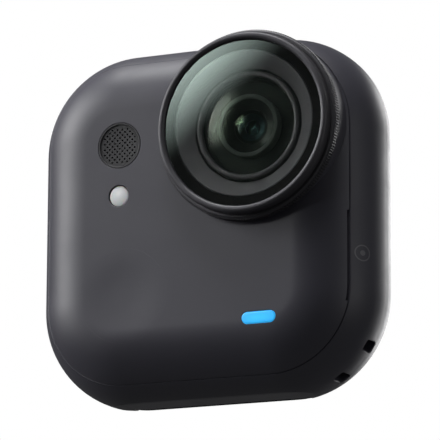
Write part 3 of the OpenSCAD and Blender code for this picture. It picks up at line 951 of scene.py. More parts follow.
@dataclass
class Casing:
    """The front cover and the rear shell."""

    shape: BodyShape = field(default_factory=BodyShape)
    cover_wall: float = 1.8
    shell_wall: float = 1.9
    seam_depth: float = 2.9
    seam_gap: float = 0.1
    rim: float = 0.09
    collar_r: float = 11.75
    collar_depth: float = 6.6
    lens_bore: float = 10.14
    outlet: tuple[float, float, float] = (-12.3, -1.0, 0.25)
    mouths: tuple[float, float] = (33.0, 56.0)
    cord: tuple[float, float, float] = (8.5, 2.3, 1.5)
    cord_bar: float = 1.0

    def section(self, wall: float, first: float, last: float, steps: int = 16) -> list[Point]:
        """(inset, depth) points along the front rounding, between two depths.

        Args:
            wall: Distance in from the outer face.
            first: First depth.
            last: Last depth.
            steps: Chords between them.

        Returns:
            The points, both ends included.
        """
        round_r = self.shape.front_round - wall
        reach = self.shape.front_round
        start, end = (acos(min(1.0, (reach - max(d, wall)) / round_r)) for d in (first, last))
        return [(reach - round_r * sin(start + (end - start) * i / steps),
                 reach - round_r * cos(start + (end - start) * i / steps))
                for i in range(steps + 1)]

    def tool(self, outline: list[Point], x: float, z: float, near: float, far: float
             ) -> bpy.types.Object:
        """A straight tool parallel to Y, between two depths.

        Args:
            outline: Its outline.
            x: Its middle to the right.
            z: Its middle upwards.
            near: First depth.
            far: Last depth.

        Returns:
            The tool.
        """
        front = self.shape.front
        return prism(outline, x, z, front + near, front + far)

    def flared(self, outline: Callable[[float], list[Point]], x: float, z: float, depth: float,
               chamfer: float = 0.07) -> bpy.types.Object:
        """A tool for an opening in the front face whose rim is chamfered.

        Args:
            outline: Gives the outline for an inset.
            x: Its middle to the right.
            z: Its middle upwards.
            depth: How deep it cuts.
            chamfer: Width of the chamfer.

        Returns:
            The tool.
        """
        front = self.shape.front
        ways = ((-1 - chamfer, -1.0), (-chamfer, 0.0), (0.0, chamfer), (0.0, depth))
        return stacked("tool", [[(x + px, front + d, z + pz) for px, pz in outline(inset)]
                                for inset, d in ways])

    def block(self, x: Point, depth: Point, z: Point) -> bpy.types.Object:
        """A plain box tool.

        Args:
            x: Its two ends to the right.
            depth: Its two ends behind the front face.
            z: Its two ends upwards.

        Returns:
            The tool.
        """
        y0, y1 = (self.shape.front + d for d in depth)
        return stacked("tool", [[(x[0], y, z[0]), (x[1], y, z[0]), (x[1], y, z[1]), (x[0], y, z[1])]
                                for y in (y0, y1)])

    def cover(self, details: "FrontDetails") -> bpy.types.Object:
        """The front cover with its collar and openings.

        Args:
            details: What the openings are for.

        Returns:
            The object.
        """
        form = self.shape
        outer = self.section(0.0, 0.0, self.seam_depth, 18)
        inner = self.section(self.cover_wall, self.cover_wall, self.seam_depth, 8)[::-1]
        rim = bevelled_rim(outer[-2], outer[-1], inner[0], self.rim)
        line = outer[:-1] + rim + inner
        skin = stacked("front_cover_skin", [form.ring(inset, depth) for inset, depth in line])
        collar = turned("tool", rounded([(self.collar_r, -self.collar_depth, 0.1),
                                         (self.collar_r, 0.0, 0.05), (10.0, 0.0, 0),
                                         (10.0, -self.collar_depth, 0.1)]),
                        Axis.X, Axis.Z, form.front)
        bore = turned("tool", [(0, 1.0), (self.lens_bore, 1.0), (self.lens_bore, -1.45),
                               (10.95, -1.45), (10.95, -8.0), (0, -8.0)],
                      Axis.X, Axis.Z, form.front)
        slot_low, slot_high, slot_w = self.outlet
        slot = self.block((12.0, 30.0), (self.seam_depth - slot_w, self.seam_depth + 1),
                          (slot_low, slot_high))
        tools = [(Step.JOIN, collar), (Step.CUT, bore), (Step.CUT, slot)]
        tools += [(Step.CUT, tool) for tool in details.openings(self)]
        carved(skin, tools)
        form.shade(skin)
        return skin

    def shell(self, back: "Back") -> bpy.types.Object:
        """The rear shell with its base, door recess, lanyard corner and back recess.

        Args:
            back: What the recess in the back is for.

        Returns:
            The object.
        """
        form = self.shape
        top = self.seam_depth + self.seam_gap
        outer = self.section(0.0, top, form.front_round, 14)
        back_arc = [(form.back_round * (1 - cos(a)), form.depth - form.back_round * (1 - sin(a)))
                    for a in (radians(90 * i / 14) for i in range(15))]
        inner_back = form.back_round - self.shell_wall
        inner_arc = [(form.back_round - inner_back * cos(a),
                      form.depth - form.back_round + inner_back * sin(a))
                     for a in (radians(90 * i / 8) for i in range(9))][::-1]
        inner = self.section(self.shell_wall, top, form.front_round, 8)[::-1]
        rim = bevelled_rim(inner[-1], outer[0], outer[1], self.rim)
        line = rim + outer[1:] + back_arc
        loop = line + inner_arc + inner
        rings = [form.ring(inset, depth) for inset, depth in loop]
        count = len(rings[0])
        verts = [p for ring in rings for p in ring]
        back_ring, inner_ring = len(line) - 1, len(line)
        faces: list[tuple[int, ...]] = []
        for r in range(len(rings)):
            if r == back_ring:
                continue
            faces += belt(r * count, (r + 1) % len(rings) * count, count)
        faces.append(tuple(range(back_ring * count, (back_ring + 1) * count)))
        faces.append(tuple(range(inner_ring * count, (inner_ring + 1) * count))[::-1])
        skin = new_piece("rear_shell_skin", verts, faces)
        tools = [(Step.JOIN, self.block((-13.4, 13.4), (6.0, 11.7), (-22.0, form.base + 2.6))),
                 (Step.JOIN, self.cord_housing()),
                 (Step.CUT, self.block((-30, 30), (-5, 30), (-40, form.base))),
                 (Step.CUT, turned("tool", [(0, 2.0), (self.collar_r + 0.1, 2.0),
                                                (self.collar_r + 0.1, -self.collar_depth - 0.1),
                                                (0, -self.collar_depth - 0.1)],
                                       Axis.X, Axis.Z, form.front))]
        tools += [(Step.CUT, tool) for tool in self.cord_tools()]
        tools += [(Step.CUT, tool) for tool in back.recesses(self)]
        tools += [(Step.CUT, tool) for tool in BaseDoor().recesses(self)]
        carved(skin, tools)
        form.shade(skin)
        return skin

    def corner_sweep(self, name: str, radii: Point, width: float, angles: Point, steps: int = 12
                     ) -> bpy.types.Object:
        """A curved bar round the lower right corner's centre, of rectangular section.

        Args:
            name: Name of the piece.
            radii: Its inner and outer radius.
            width: Its width along Y.
            angles: Its first and last angle, in degrees.
            steps: Chords along it.

        Returns:
            The object.
        """
        cx, cz = self.shape.middle
        y = self.shape.front + self.cord[0]
        rings = []
        for i in range(steps + 1):
            a = radians(angles[0] + (angles[1] - angles[0]) * i / steps)
            section = rounded([(radii[0], -width / 2, 0.3), (radii[1], -width / 2, 0.3),
                               (radii[1], width / 2, 0.3), (radii[0], width / 2, 0.3)], 4)
            rings.append([(cx + r * cos(a), y + w, -cz - r * sin(a)) for r, w in section])
        return stacked(name, rings)

    def cord_housing(self) -> bpy.types.Object:
        """The walls round the lanyard tunnel inside the shell.

        Returns:
            The tool that adds them.
        """
        edge = self.shape.corner
        return self.corner_sweep("tool", (edge - self.cord_bar - 2.7, edge - 0.6),
                                 self.cord[1] + 1.8, (self.mouths[0] - 13, self.mouths[1] + 13))

    def cord_tools(self) -> list[bpy.types.Object]:
        """The lanyard tunnel and its two mouths, their rims flared a little.

        Returns:
            The tools that cut them.
        """
        edge = self.shape.corner
        inner = edge - self.cord_bar - 1.8
        tools = [self.corner_sweep("tool", (inner, edge - self.cord_bar), self.cord[1],
                                   self.mouths)]
        cx, cz = self.shape.middle
        y = self.shape.front + self.cord[0]
        for angle in self.mouths:
            a = radians(angle)
            rings = []
            for reach, grow in ((inner, 0.0), (edge - 0.16, 0.0), (edge, 0.12), (edge + 1, 1.12)):
                mouth = box_outline(self.cord[1] + 2 * grow, self.cord[2] + 2 * grow,
                                    0.35 + grow, 5)
                rings.append([(cx + reach * cos(a) + t * sin(a), y + w,
                               -cz - reach * sin(a) + t * cos(a)) for w, t in mouth])
            tools.append(stacked("tool", rings))
        return tools

    def tongue(self) -> bpy.types.Object:
        """The lip that closes the joint between the shells from inside.

        Returns:
            The object.
        """
        near, far = self.seam_depth - 0.4, self.seam_depth + 0.5
        loop = self.section(0.6, near, far, 6) + self.section(1.7, near, far, 6)[::-1]
        rings = [self.shape.ring(inset, depth) for inset, depth in loop]
        count = len(rings[0])
        faces = [face for r in range(len(rings))
                 for face in belt(r * count, (r + 1) % len(rings) * count, count)]
        return new_piece("joint_tongue", [p for ring in rings for p in ring], faces)

    def build(self, details: "FrontDetails", back: "Back") -> None:
        """Makes and dresses both shells and the lip between them.

        Args:
            details: What the cover's openings are for.
            back: What the shell's recess is for.
        """
        tongue = self.tongue()
        smooth(tongue)
        dress(tongue, BLACK, Body.CAMERA)
        dress(self.cover(details), COVER, Body.CAMERA, ["front_cover"])
        dress(self.shell(back), SHELL, Body.CAMERA, ["rear_shell"])


# --------------------------------------------------------------------------- lens guard


class Ribs:
    """A Geometry Nodes tree that sets ribs side by side round an axis along Y."""

    def __init__(self) -> None:
        """Builds the tree, with its sizes as named inputs."""
        self.tree = bpy.data.node_groups.new("ribs_round_an_axis", "GeometryNodeTree")
        t = Tree(self.tree)
        t.socket("Geometry", Kind.GEOMETRY, Way.OUT)
        for name, kind, default in (("Count", Kind.INT, 180),
                                    ("Radius", Kind.FLOAT, 0.012),
                                    ("Rib Width", Kind.FLOAT, 0.0002),
                                    ("Rib Height", Kind.FLOAT, 0.0001),
                                    ("Rib Length", Kind.FLOAT, 0.001),
                                    ("Centre", Kind.VECTOR, None)):
            t.socket(name, kind, default=default)
        t.socket("Material", Kind.MATERIAL)
        given = t.add("NodeGroupInput").outputs
        circle = t.add("GeometryNodeMeshCircle", {"Vertices": given["Count"],
                                                  "Radius": given["Radius"]}).outputs["Mesh"]
        bar = t.add("GeometryNodeMeshCylinder", {"Vertices": 8, "Radius": 0.5,
                                                 "Depth": 1.0}).outputs["Mesh"]
        size = t.add("ShaderNodeCombineXYZ", {"X": given["Rib Height"], "Y": given["Rib Width"],
                                              "Z": given["Rib Length"]}).outputs[0]
        where = t.add("GeometryNodeInputPosition").outputs[0]
        turn = t.add("FunctionNodeAlignRotationToVector", {"Vector": where}, axis="X").outputs[0]
        ribs = t.add("GeometryNodeInstanceOnPoints", {"Points": circle, "Instance": bar,
                                                      "Rotation": turn, "Scale": size}).outputs[0]
        upright = t.add("GeometryNodeTransform", {"Geometry": ribs, "Rotation": (pi / 2, 0, 0),
                                                  "Translation": given["Centre"]}).outputs[0]
        real = t.add("GeometryNodeRealizeInstances", {"Geometry": upright}).outputs[0]
        done = t.add("GeometryNodeSetMaterial", {"Geometry": real,
                                                 "Material": given["Material"]}).outputs[0]
        t.add("NodeGroupOutput", {"Geometry": done})


def grown(name: str, tree: bpy.types.NodeTree, values: dict[str, object],
          start: bpy.types.Object | None = None) -> bpy.types.Object:
    """A piece made by a Geometry Nodes tree, turned into a plain mesh.

    Args:
        name: Name of the piece.
        tree: The tree.
        values: Value for each of its named inputs.
        start: The piece the tree works on, or None for an empty one.

    Returns:
        The object with the finished mesh and no modifier.
    """
    piece = start or new_piece(name, [], [])
    piece.name = name
    maker = piece.modifiers.new("maker", "NODES")
    maker.node_group = tree
    sockets = {item.name: item.identifier for item in tree.interface.items_tree
               if item.item_type == "SOCKET" and item.in_out == "INPUT"}
    for key, value in values.items():
        maker[sockets[key]] = value
    fix_mesh(piece)
    return piece


@dataclass
class LensGuard:
    """The screw-on guard: a ribbed ring with a bright bead round a flat coated glass."""

    front: float = -15.0
    grip_r: float = 12.1
    band_r: float = 11.45
    glass_r: float = 10.52
    glass_t: float = 0.5
    bore_r: float = 10.15
    base: float = 0.12
    grip_top: float = 1.45
    step_top: float = 1.65
    ledge: float = 1.7
    ledge_t: float = 0.3
    rise: float = 2.97
    step_r: float = 11.8
    lip_r: float = 9.35
    print_r: float = 9.33
    print_film: float = 0.004
    rib_count: int = 220
    rib_w: float = 0.21
    rib_h: float = 0.2

    def ring(self) -> bpy.types.Object:
        """The ring without its ribs.

        Returns:
            The object.
        """
        bead = (self.band_r - self.glass_r - 0.07) / 2
        middle = (self.band_r - 0.02 + self.glass_r + 0.05) / 2
        seat = self.ledge + self.ledge_t
        root = self.grip_r - 0.14
        outside = [(self.bore_r, self.base, 0.05), (root - 0.06, self.base, 0.1),
                   (root, self.base + 0.16, 0.05), (root, self.grip_top - 0.1, 0.06),
                   (11.83, self.grip_top, 0.03), (self.step_r, self.step_top, 0.06),
                   (self.band_r + 0.02, self.step_top, 0.04)]
        inside = [(self.glass_r + 0.05, seat, 0.0), (self.lip_r, seat, 0.05),
                  (self.lip_r, self.ledge, 0.05), (self.bore_r, self.ledge, 0.0)]
        section = rounded(outside)
        section += arc((middle, self.rise - bead), bead, 0, 180, 24)
        section += rounded(inside)
        return turned("guard_ring_body", section, Axis.X, Axis.Z, self.front, 256)

    def ribs(self) -> bpy.types.Object:
        """The ribs of the grip.

        Returns:
            The object.
        """
        low, high = self.base + 0.2, self.grip_top - 0.14
        middle = (self.front - (low + high) / 2) * MM
        return grown("guard_grip_ribs", Ribs().tree, {
            "Count": self.rib_count, "Radius": (self.grip_r - 0.12) * MM,
            "Rib Width": self.rib_w * MM, "Rib Height": self.rib_h * MM,
            "Rib Length": (high - low) * MM,
            "Centre": (Axis.X * MM, middle, Axis.Z * MM), "Material": RING.material()})

    def glass(self) -> bpy.types.Object:
        """The flat glass, its edge ground round.

        Returns:
            The object.
        """
        low = self.ledge + self.ledge_t
        section = rounded([(0, low, 0), (self.glass_r, low, 0.06),
                           (self.glass_r, low + self.glass_t, 0.1), (0, low + self.glass_t, 0)])
        return turned("guard_glass_disc", section, Axis.X, Axis.Z, self.front, 256)

    def border(self) -> bpy.types.Object:
        """The black print round the underside of the glass.

        Returns:
            The object.
        """
        seat = self.ledge + self.ledge_t
        inner, outer, film = self.print_r, self.glass_r - 0.03, self.print_film
        return turned("guard_glass_border", [(inner, seat - 0.03), (outer, seat - 0.03),
                                             (outer, seat + film), (inner, seat + film)],
                      Axis.X, Axis.Z, self.front, 256)

    def build(self) -> None:
        """Makes and dresses the guard."""
        ring, ribs, glass, border = self.ring(), self.ribs(), self.glass(), self.border()
        for piece in (ring, ribs, glass, border):
            smooth(piece)
        dress(ring, RING, Body.GUARD, ["guard_ring"])
        dress(ribs, RING, Body.GUARD)
        dress(glass, GUARD_GLASS, Body.GUARD, ["guard_glass"])
        dress(border, PRINT, Body.GUARD)


@dataclass
class LensStack:
    """What is seen through the guard: bezel, dome and the elements behind it."""

    front: float = -15.0
    bezel: tuple[Point, Point] = ((9.22, 1.85), (7.2, 0.5))
    bead: tuple[float, float] = (6.575, 0.36)
    dome_r: float = 6.15
    dome_apex: float = 1.85
    dome_ball: float = 13.6
    back_apex: float = 1.15
    back_ball: float = 12.5
    seat: float = -0.6
    floor: float = -1.0
    spacer: Point = (3.4, 3.9)
    cell: Point = (2.15, 3.38)
    second_r: float = 2.1
    stop_r: float = 0.85
    stop_t: float = 0.2
    rear_r: float = 4.2
    rear_apex: float = -1.5
    rear_back: float = -4.6

    def make(self, name: str, section: list[Point], finish: Finish, node: str,
             angle: float = 35.0) -> None:
        """Turns, shades and dresses one piece.

        Args:
            name: Name of the piece.
            section: Its closed outline of (radius, rise) points.
            finish: Its finish.
            node: The node it stands for.
            angle: Edges steeper than this, in degrees, stay crisp.
        """
        piece = turned(name, section, Axis.X, Axis.Z, self.front)
        smooth(piece, angle)
        dress(piece, finish, Body.CAMERA, [node])

    def cap(self, radius: float, apex: float, ball: float, steps: int = 28) -> list[Point]:
        """(radius, rise) points of a ball's cap from the axis out to a radius."""
        return [(r, apex - ball + sqrt(ball * ball - r * r))
                for r in (radius * i / steps for i in range(steps + 1))]

    def build(self) -> None:
        """Makes and dresses the visible lens pieces."""
        (out_r, out_rise), (in_r, in_rise) = self.bezel
        self.make("bezel_cone", rounded([(out_r, -0.6, 0), (out_r, out_rise, 0.06),
                                         (out_r - 0.16, out_rise, 0.05), (in_r, in_rise, 0.06),
                                         (in_r, -0.6, 0)]), BEZEL, "lens_bezel")
        r, bead = self.bead
        self.make("dome_bead_ring", [(r - bead, 0.05)] + arc((r, 0.1 + bead), bead, 180, 0, 20)
                  + [(r + bead, 0.05)], BEAD, "dome_ring")
        face = self.cap(self.dome_r, self.dome_apex, self.dome_ball, 40)
        back = self.cap(self.dome_r - 0.28, self.back_apex, self.back_ball, 40)[::-1]
        self.make("front_dome", face + [(self.dome_r, self.seat)] + back, DOME_GLASS,
                  "dome_lens")
        near, far = self.spacer
        self.make("spacer_band", rounded([(near, self.floor, 0), (far, self.floor, 0),
                                          (far, 0.35, 0.05), (near, 0.35, 0.05)]), SPACER,
                  "spacer_ring")
        near, far = self.cell
        self.make("inner_funnel", rounded([(near, self.floor, 0), (far, self.floor, 0),
                                           (far, 0.15, 0.03), (2.3, -0.42, 0.06),
                                           (near, -0.42, 0.04)]), INNER,
                  "inner_cell")
        top = self.cap(self.second_r, 0.1, 4.0, 20)
        self.make("second_element", top + [(self.second_r, self.floor), (0, self.floor)],
                  DEEP_GLASS, "second_lens")
        low, high = self.rear_apex, self.rear_apex + self.stop_t
        self.make("aperture_plate", rounded([(self.stop_r, low, 0.02), (self.rear_r, low, 0),
                                             (self.rear_r, high, 0), (self.stop_r, high, 0.02)]),
                  APERTURE, "aperture_disc")
        rear = self.cap(self.rear_r, self.rear_apex, 8.4, 24)
        self.make("rear_element", rear + [(self.rear_r, self.rear_back), (0, self.rear_back)],
                  DEEP_GLASS, "rear_lens")


# --------------------------------------------------------------------------- front details


class Perforation:
    """A Geometry Nodes tree that drills a plate with a staggered grid of round holes."""

    def __init__(self) -> None:
        """Builds the tree, with its sizes as named inputs."""
        self.tree = bpy.data.node_groups.new("staggered_holes", "GeometryNodeTree")
        t = Tree(self.tree)
        t.socket("Geometry", Kind.GEOMETRY, Way.OUT)
        t.socket("Geometry", Kind.GEOMETRY)
        for name, kind, default in (("Half Pitch", Kind.FLOAT, 0.00035),
                                    ("Hole Radius", Kind.FLOAT, 0.00012),
                                    ("Field Radius", Kind.FLOAT, 0.0024),
                                    ("Rows", Kind.INT, 13),
                                    ("Centre", Kind.VECTOR, None)):
            t.socket(name, kind, default=default)
        t.socket("Material", Kind.MATERIAL)
        given = t.add("NodeGroupInput").outputs
        span = t.math("MULTIPLY", given["Half Pitch"], t.math("SUBTRACT", given["Rows"], 1))
        grid = t.add("GeometryNodeMeshGrid", {"Size X": span, "Size Y": span,
                                              "Vertices X": given["Rows"],
                                              "Vertices Y": given["Rows"]}).outputs["Mesh"]
        where = t.add("GeometryNodeInputPosition").outputs[0]
        parts = t.add("ShaderNodeSeparateXYZ", {0: where}).outputs
        steps = t.math("DIVIDE", t.math("ADD", parts["X"], parts["Y"]), given["Half Pitch"])
        rest = t.math("ABSOLUTE", t.math("MODULO", t.math("ROUND", steps), 2))
        odd = t.math("GREATER_THAN", rest, 0.5)
        reach = t.add("ShaderNodeVectorMath", {0: where}, operation="LENGTH").outputs["Value"]
        inside = t.math("LESS_THAN", reach, given["Field Radius"])
        keep = t.math("MULTIPLY", odd, inside)
        drill = t.add("GeometryNodeMeshCylinder", {"Vertices": 14, "Radius": given["Hole Radius"],
                                                   "Depth": 0.004}).outputs["Mesh"]
        holes = t.add("GeometryNodeInstanceOnPoints", {"Points": grid, "Selection": keep,
                                                       "Instance": drill}).outputs[0]
        upright = t.add("GeometryNodeTransform", {"Geometry": holes, "Rotation": (pi / 2, 0, 0),
                                                  "Translation": given["Centre"]}).outputs[0]
        real = t.add("GeometryNodeRealizeInstances", {"Geometry": upright}).outputs[0]
        drilled = t.add("GeometryNodeMeshBoolean", {0: given["Geometry"], 1: real},
                        operation="DIFFERENCE", solver="EXACT").outputs["Mesh"]
        done = t.add("GeometryNodeSetMaterial", {"Geometry": drilled,
                                                 "Material": given["Material"]}).outputs[0]
        t.add("NodeGroupOutput", {"Geometry": done})


@dataclass
class FrontDetails:
    """Microphone grille, lamp window, status light and shutter key."""

    shape: BodyShape = field(default_factory=BodyShape)
    mic: tuple[float, float, float] = (-9.46, 9.45, 2.95)
    lamp: tuple[float, float, float] = (-9.46, 2.94, 1.32)
    status: tuple[float, float, float, float] = (9.73, -14.0, 4.5, 1.5)
    key: tuple[float, float, float] = (-8.7, -9.9, 5.95)
    key_fit: float = 0.035
    dish: float = 0.13
    half_pitch: float = 0.35
    hole_rows: int = 13
    hole_r: float = 0.125

    def openings(self, casing: Casing) -> list[bpy.types.Object]:
        """Tools for the openings in the front cover.

        Args:
            casing: The casing whose cover they cut.

        Returns:
            The tools.
        """
        mic_x, mic_z, mic_r = self.mic
        lamp_x, lamp_z, lamp_r = self.lamp
        key_x, key_z, key_r = self.key
        sx, sz, sl, sh = self.status
        return [
            casing.flared(lambda inset: disc_outline(mic_r + 0.02 - inset, 96), mic_x, mic_z,
                          0.6, 0.05),
            casing.tool(disc_outline(mic_r - 0.75, 64), mic_x, mic_z, 0.3, 4),
            casing.flared(lambda inset: disc_outline(lamp_r + 0.07 - inset, 72), lamp_x, lamp_z,
                          4, 0.06),
            casing.tool(disc_outline(key_r + 0.04, 192), key_x, key_z, -1, 4),
            casing.flared(lambda inset: box_outline(sl + 0.08 - 2 * inset, sh + 0.08 - 2 * inset,
                                                    sh / 2 + 0.03 - inset, 14), sx, sz, 4, 0.04)]

    def grille(self) -> bpy.types.Object:
        """The perforated, slightly dished grille.

        Returns:
            The object.
        """
        x, z, r = self.mic
        front = self.shape.front
        rim = rounded([(r, -0.6, 0.0), (r, -0.02, 0.07), (r - 0.2, -0.02, 0.05),
                       (r - 0.3, -0.13, 0.05)])
        dish = [(q, -0.13 - 0.08 * (1 - (q / r) ** 2))
                for q in (r - 0.5, r - 0.9, r - 1.5, r - 2.2, 0.0)]
        disc = turned("grille_start", rim + dish + [(0.0, -0.6)], x, z, front, 96)
        return grown("mic_grille_plate", Perforation().tree, {
            "Half Pitch": self.half_pitch * MM, "Hole Radius": self.hole_r * MM,
            "Field Radius": 6.8 * self.half_pitch * MM, "Rows": self.hole_rows,
            "Centre": (x * MM, front * MM, z * MM), "Material": GRILLE.material()}, disc)

    def lamp_window(self) -> bpy.types.Object:
        """The milky round window, gently domed.

        Returns:
            The object.
        """
        x, z, r = self.lamp
        dome = [(q, -0.03 - 0.1 * (q / r) ** 2) for q in (0.0, 0.3, 0.6, 0.9, 1.1)]
        section = dome + arc((r - 0.12, -0.25), 0.12, 80, 0, 6) + [(r, -1.95), (r + 0.6, -1.95),
                                                                  (r + 0.6, -2.3), (0.0, -2.3)]
        return turned("lamp_window_lens", section, x, z, self.shape.front, 96)

    def status_window(self) -> bpy.types.Object:
        """The pill-shaped status light, its face following the cover.

        Returns:
            The object.
        """
        x, z, length, height = self.status
        front = self.shape.front
        rings = []
        for inset, deep in ((0.3, 0.0), (0.12, 0.005), (0.05, 0.02), (0.015, 0.05), (0.0, 0.1)):
            outline = box_outline(length - 2 * inset, height - 2 * inset,
                                  height / 2 - inset - 0.005, 12)
            rings.append([(x + px, front + self.shape.front_depth(x + px, z + pz) + deep + 0.01,
                           z + pz) for px, pz in outline])
        outline = box_outline(length, height, height / 2 - 0.005, 12)
        rings.append([(x + px, front + 2.2, z + pz) for px, pz in outline])
        return stacked("status_light_window", rings)

    def dish_depth(self, radius: float) -> float:
        """How far the finger dish sinks below the cover at a radius.

        Args:
            radius: Distance from the middle of the key.

        Returns:
            The depth.
        """
        edge = self.key[2] + self.key_fit
        t = min(max((radius - 0.15 * edge) / (0.85 * edge), 0.0), 1.0)
        return self.dish * (1 - t * t * (3 - 2 * t))

    def key_cap(self) -> bpy.types.Object:
        """The shutter key, its face following the cover into a soft dish.

        Returns:
            The object.
        """
        x, z, r = self.key
        edge = r + self.key_fit
        count, rows = 192, 36
        radii = [edge * i / rows for i in range(1, rows + 1)]
        rings = []
        for radius in reversed(radii):
            ring = []
            for i in range(count):
                a = 2 * pi * i / count
                px, pz = x + radius * cos(a), z + radius * sin(a)
                depth = self.shape.front_depth(px, pz) + self.dish_depth(radius)
                ring.append((px, self.shape.front + depth, pz))
            rings.append(ring)
        side = [(px, self.shape.front + 2.7, pz) for px, _, pz in rings[0]]
        return stacked("shutter_key_cap", [side] + rings)

    def build(self) -> None:
        """Makes and dresses the details."""
        grille = self.grille()
        lamp = self.lamp_window()
        status = self.status_window()
        key = self.key_cap()
        for piece in (grille, lamp, status, key):
            smooth(piece, 30)
        dress(grille, GRILLE, Body.CAMERA, ["mic_grille"])
        dress(lamp, WHITE_LAMP, Body.CAMERA, ["lamp_window"])
        dress(status, BLUE_LAMP, Body.CAMERA, ["status_window"])
        dress(key, COVER, Body.SHUTTER, ["shutter_key"])


# --------------------------------------------------------------------------- base and back


@dataclass
class BaseDoor:
    """The hinged door in the flat base."""

    length: float = 24.0
    front_edge: float = 6.3
    pin: float = 10.75
    knuckle: float = 0.75
    thick: float = 0.9
    bore_r: float = 0.42
    gap: float = 0.04
    charging: tuple[float, float, float, float] = (-6.0, 8.35, 9.14, 3.46)
    card: tuple[Point, Point] = ((0.35, 11.65), (8.65, 9.65))

    def along_pin(self, shape: BodyShape, radius: float, half: float, count: int
                  ) -> bpy.types.Object:
        """A round tool along the hinge pin.

        Args:
            shape: The body's form.
            radius: Its radius.
            half: Half its length.
            count: Points round it.

        Returns:
            The tool.
        """
        y, z = shape.front + self.pin, shape.base + self.knuckle
        return stacked("tool", [[(x, y + py, z + pz) for py, pz in disc_outline(radius, count)]
                                for x in (-half, half)])

    def recesses(self, casing: Casing) -> list[bpy.types.Object]:
        """Tools for the door's recess and the windows of the sockets above it.

        Args:
            casing: The casing whose shell they cut.

        Returns:
            The tools.
        """
        base = casing.shape.base
        half = self.length / 2 + self.gap
        top = base + self.thick + 0.45
        barrel = self.along_pin(casing.shape, self.knuckle + 0.08, half, 48)
        x, y, width, depth = self.charging
        usb = stacked("tool", [[(x + px, casing.shape.front + y + py, z)
                                for px, py in box_outline(width, depth, 1.2, 6)]
                               for z in (base + 0.5, base + 4)])
        return [casing.block((-half, half), (self.front_edge - self.gap, self.pin),
                             (base - 1, top)),
                casing.block((-half, half), (self.pin - 0.1, self.pin + self.knuckle + 0.2),
                             (base - 1, base + self.knuckle)), barrel, usb,
                casing.block(*self.card, (base + 0.5, base + 4))]

    def build(self, shape: BodyShape) -> None:
        """Makes and dresses the door, round at its hinge and along its front edge.

        Args:
            shape: The body's form.
        """
        base = shape.base
        front, pin_y = shape.front + self.front_edge, shape.front + self.pin
        pin_z = base + self.knuckle
        top = base + self.thick
        meet = 180 - asin((top - pin_z) / self.knuckle) * 180 / pi
        side = arc((pin_y, pin_z), self.knuckle, -90, meet, 24)
        side += arc((front + 0.12, top - 0.12), 0.12, 90, 180, 4)
        side += arc((front + 0.18, base + 0.18), 0.18, 180, 270, 4)
        rings = [[(x, y, z) for y, z in side] for x in (-self.length / 2, self.length / 2)]
        door = stacked("base_door", rings)
        bore = self.along_pin(shape, self.bore_r, self.length, 32)
        carved(door, [(Step.CUT, bore)])
        smooth(door)
        dress(door, SHELL, Body.DOOR, ["port_door"])


@dataclass
class Back:
    """The flat back: plate, contact block and pads."""

    plate_w: float = 31.0
    plate_t: float = 0.6
    plate_corner: float = 7.0
    contact_z: float = -11.6
    contact: Point = (13.0, 3.4)
    pads: int = 5
    pad_step: float = 2.4

    def outline(self, grow: float = 0.0) -> Callable[[float], list[Point]]:
        """The plate's outline as a function of its inset.

        Args:
            grow: How far the outline is moved out.

        Returns:
            A function that gives the outline for an inset.
        """
        return lambda inset: box_outline(
            self.plate_w + 2 * (grow - inset), self.plate_w + 2 * (grow - inset),
            self.plate_corner + grow - inset, 14)

    def contact_outline(self, inset: float) -> list[Point]:
        """The contact block's outline for an inset."""
        return box_outline(self.contact[0] - 2 * inset, self.contact[1] - 2 * inset, 1.2 - inset, 8)

    def recesses(self, casing: Casing) -> list[bpy.types.Object]:
        """Tools for the plate's recess and the window of the contact block.

        Args:
            casing: The casing whose shell they cut.

        Returns:
            The tools.
        """
        deep = casing.shape.depth
        return [casing.tool(self.outline(0.06)(0), 0, 0, deep - self.plate_t, deep + 1),
                casing.tool(self.contact_outline(-0.03), 0, self.contact_z, 11.5, deep + 1)]

    def build(self) -> None:
        """Makes and dresses the back."""
        board = plate("back_plate_panel", self.outline(), 0, 0, -self.plate_t, 0, 0.08)
        window = prism(self.contact_outline(-0.03), 0, self.contact_z, -2, 1)
        carved(board, [(Step.CUT, window)])
        smooth(board)
        dress(board, BACK, Body.CAMERA, ["back_plate"])
        block = plate("contact_bar", self.contact_outline, 0, self.contact_z, -2.4, 0, 0.1)
        wells, pads = [], []
        for i in range(self.pads):
            x = (i - (self.pads - 1) / 2) * self.pad_step
            wells.append((Step.CUT, prism(disc_outline(0.78, 40), x, self.contact_z, -1.2, 1)))
            section = rounded([(0, 0.05, 0), (0.75, 0.05, 0.1), (0.75, 1.2, 0), (0, 1.2, 0)], 4)
            pads.append(turned(f"contact_pad_{i + 1}", section, x, self.contact_z, 0.0, 40))
        carved(block, wells)
        smooth(block)
        dress(block, BLACK, Body.CAMERA, ["contact_block"])
        for pad in pads:
            smooth(pad)
            dress(pad, GOLD, Body.CAMERA, ["contact_pads"])


# --------------------------------------------------------------------------- what is inside


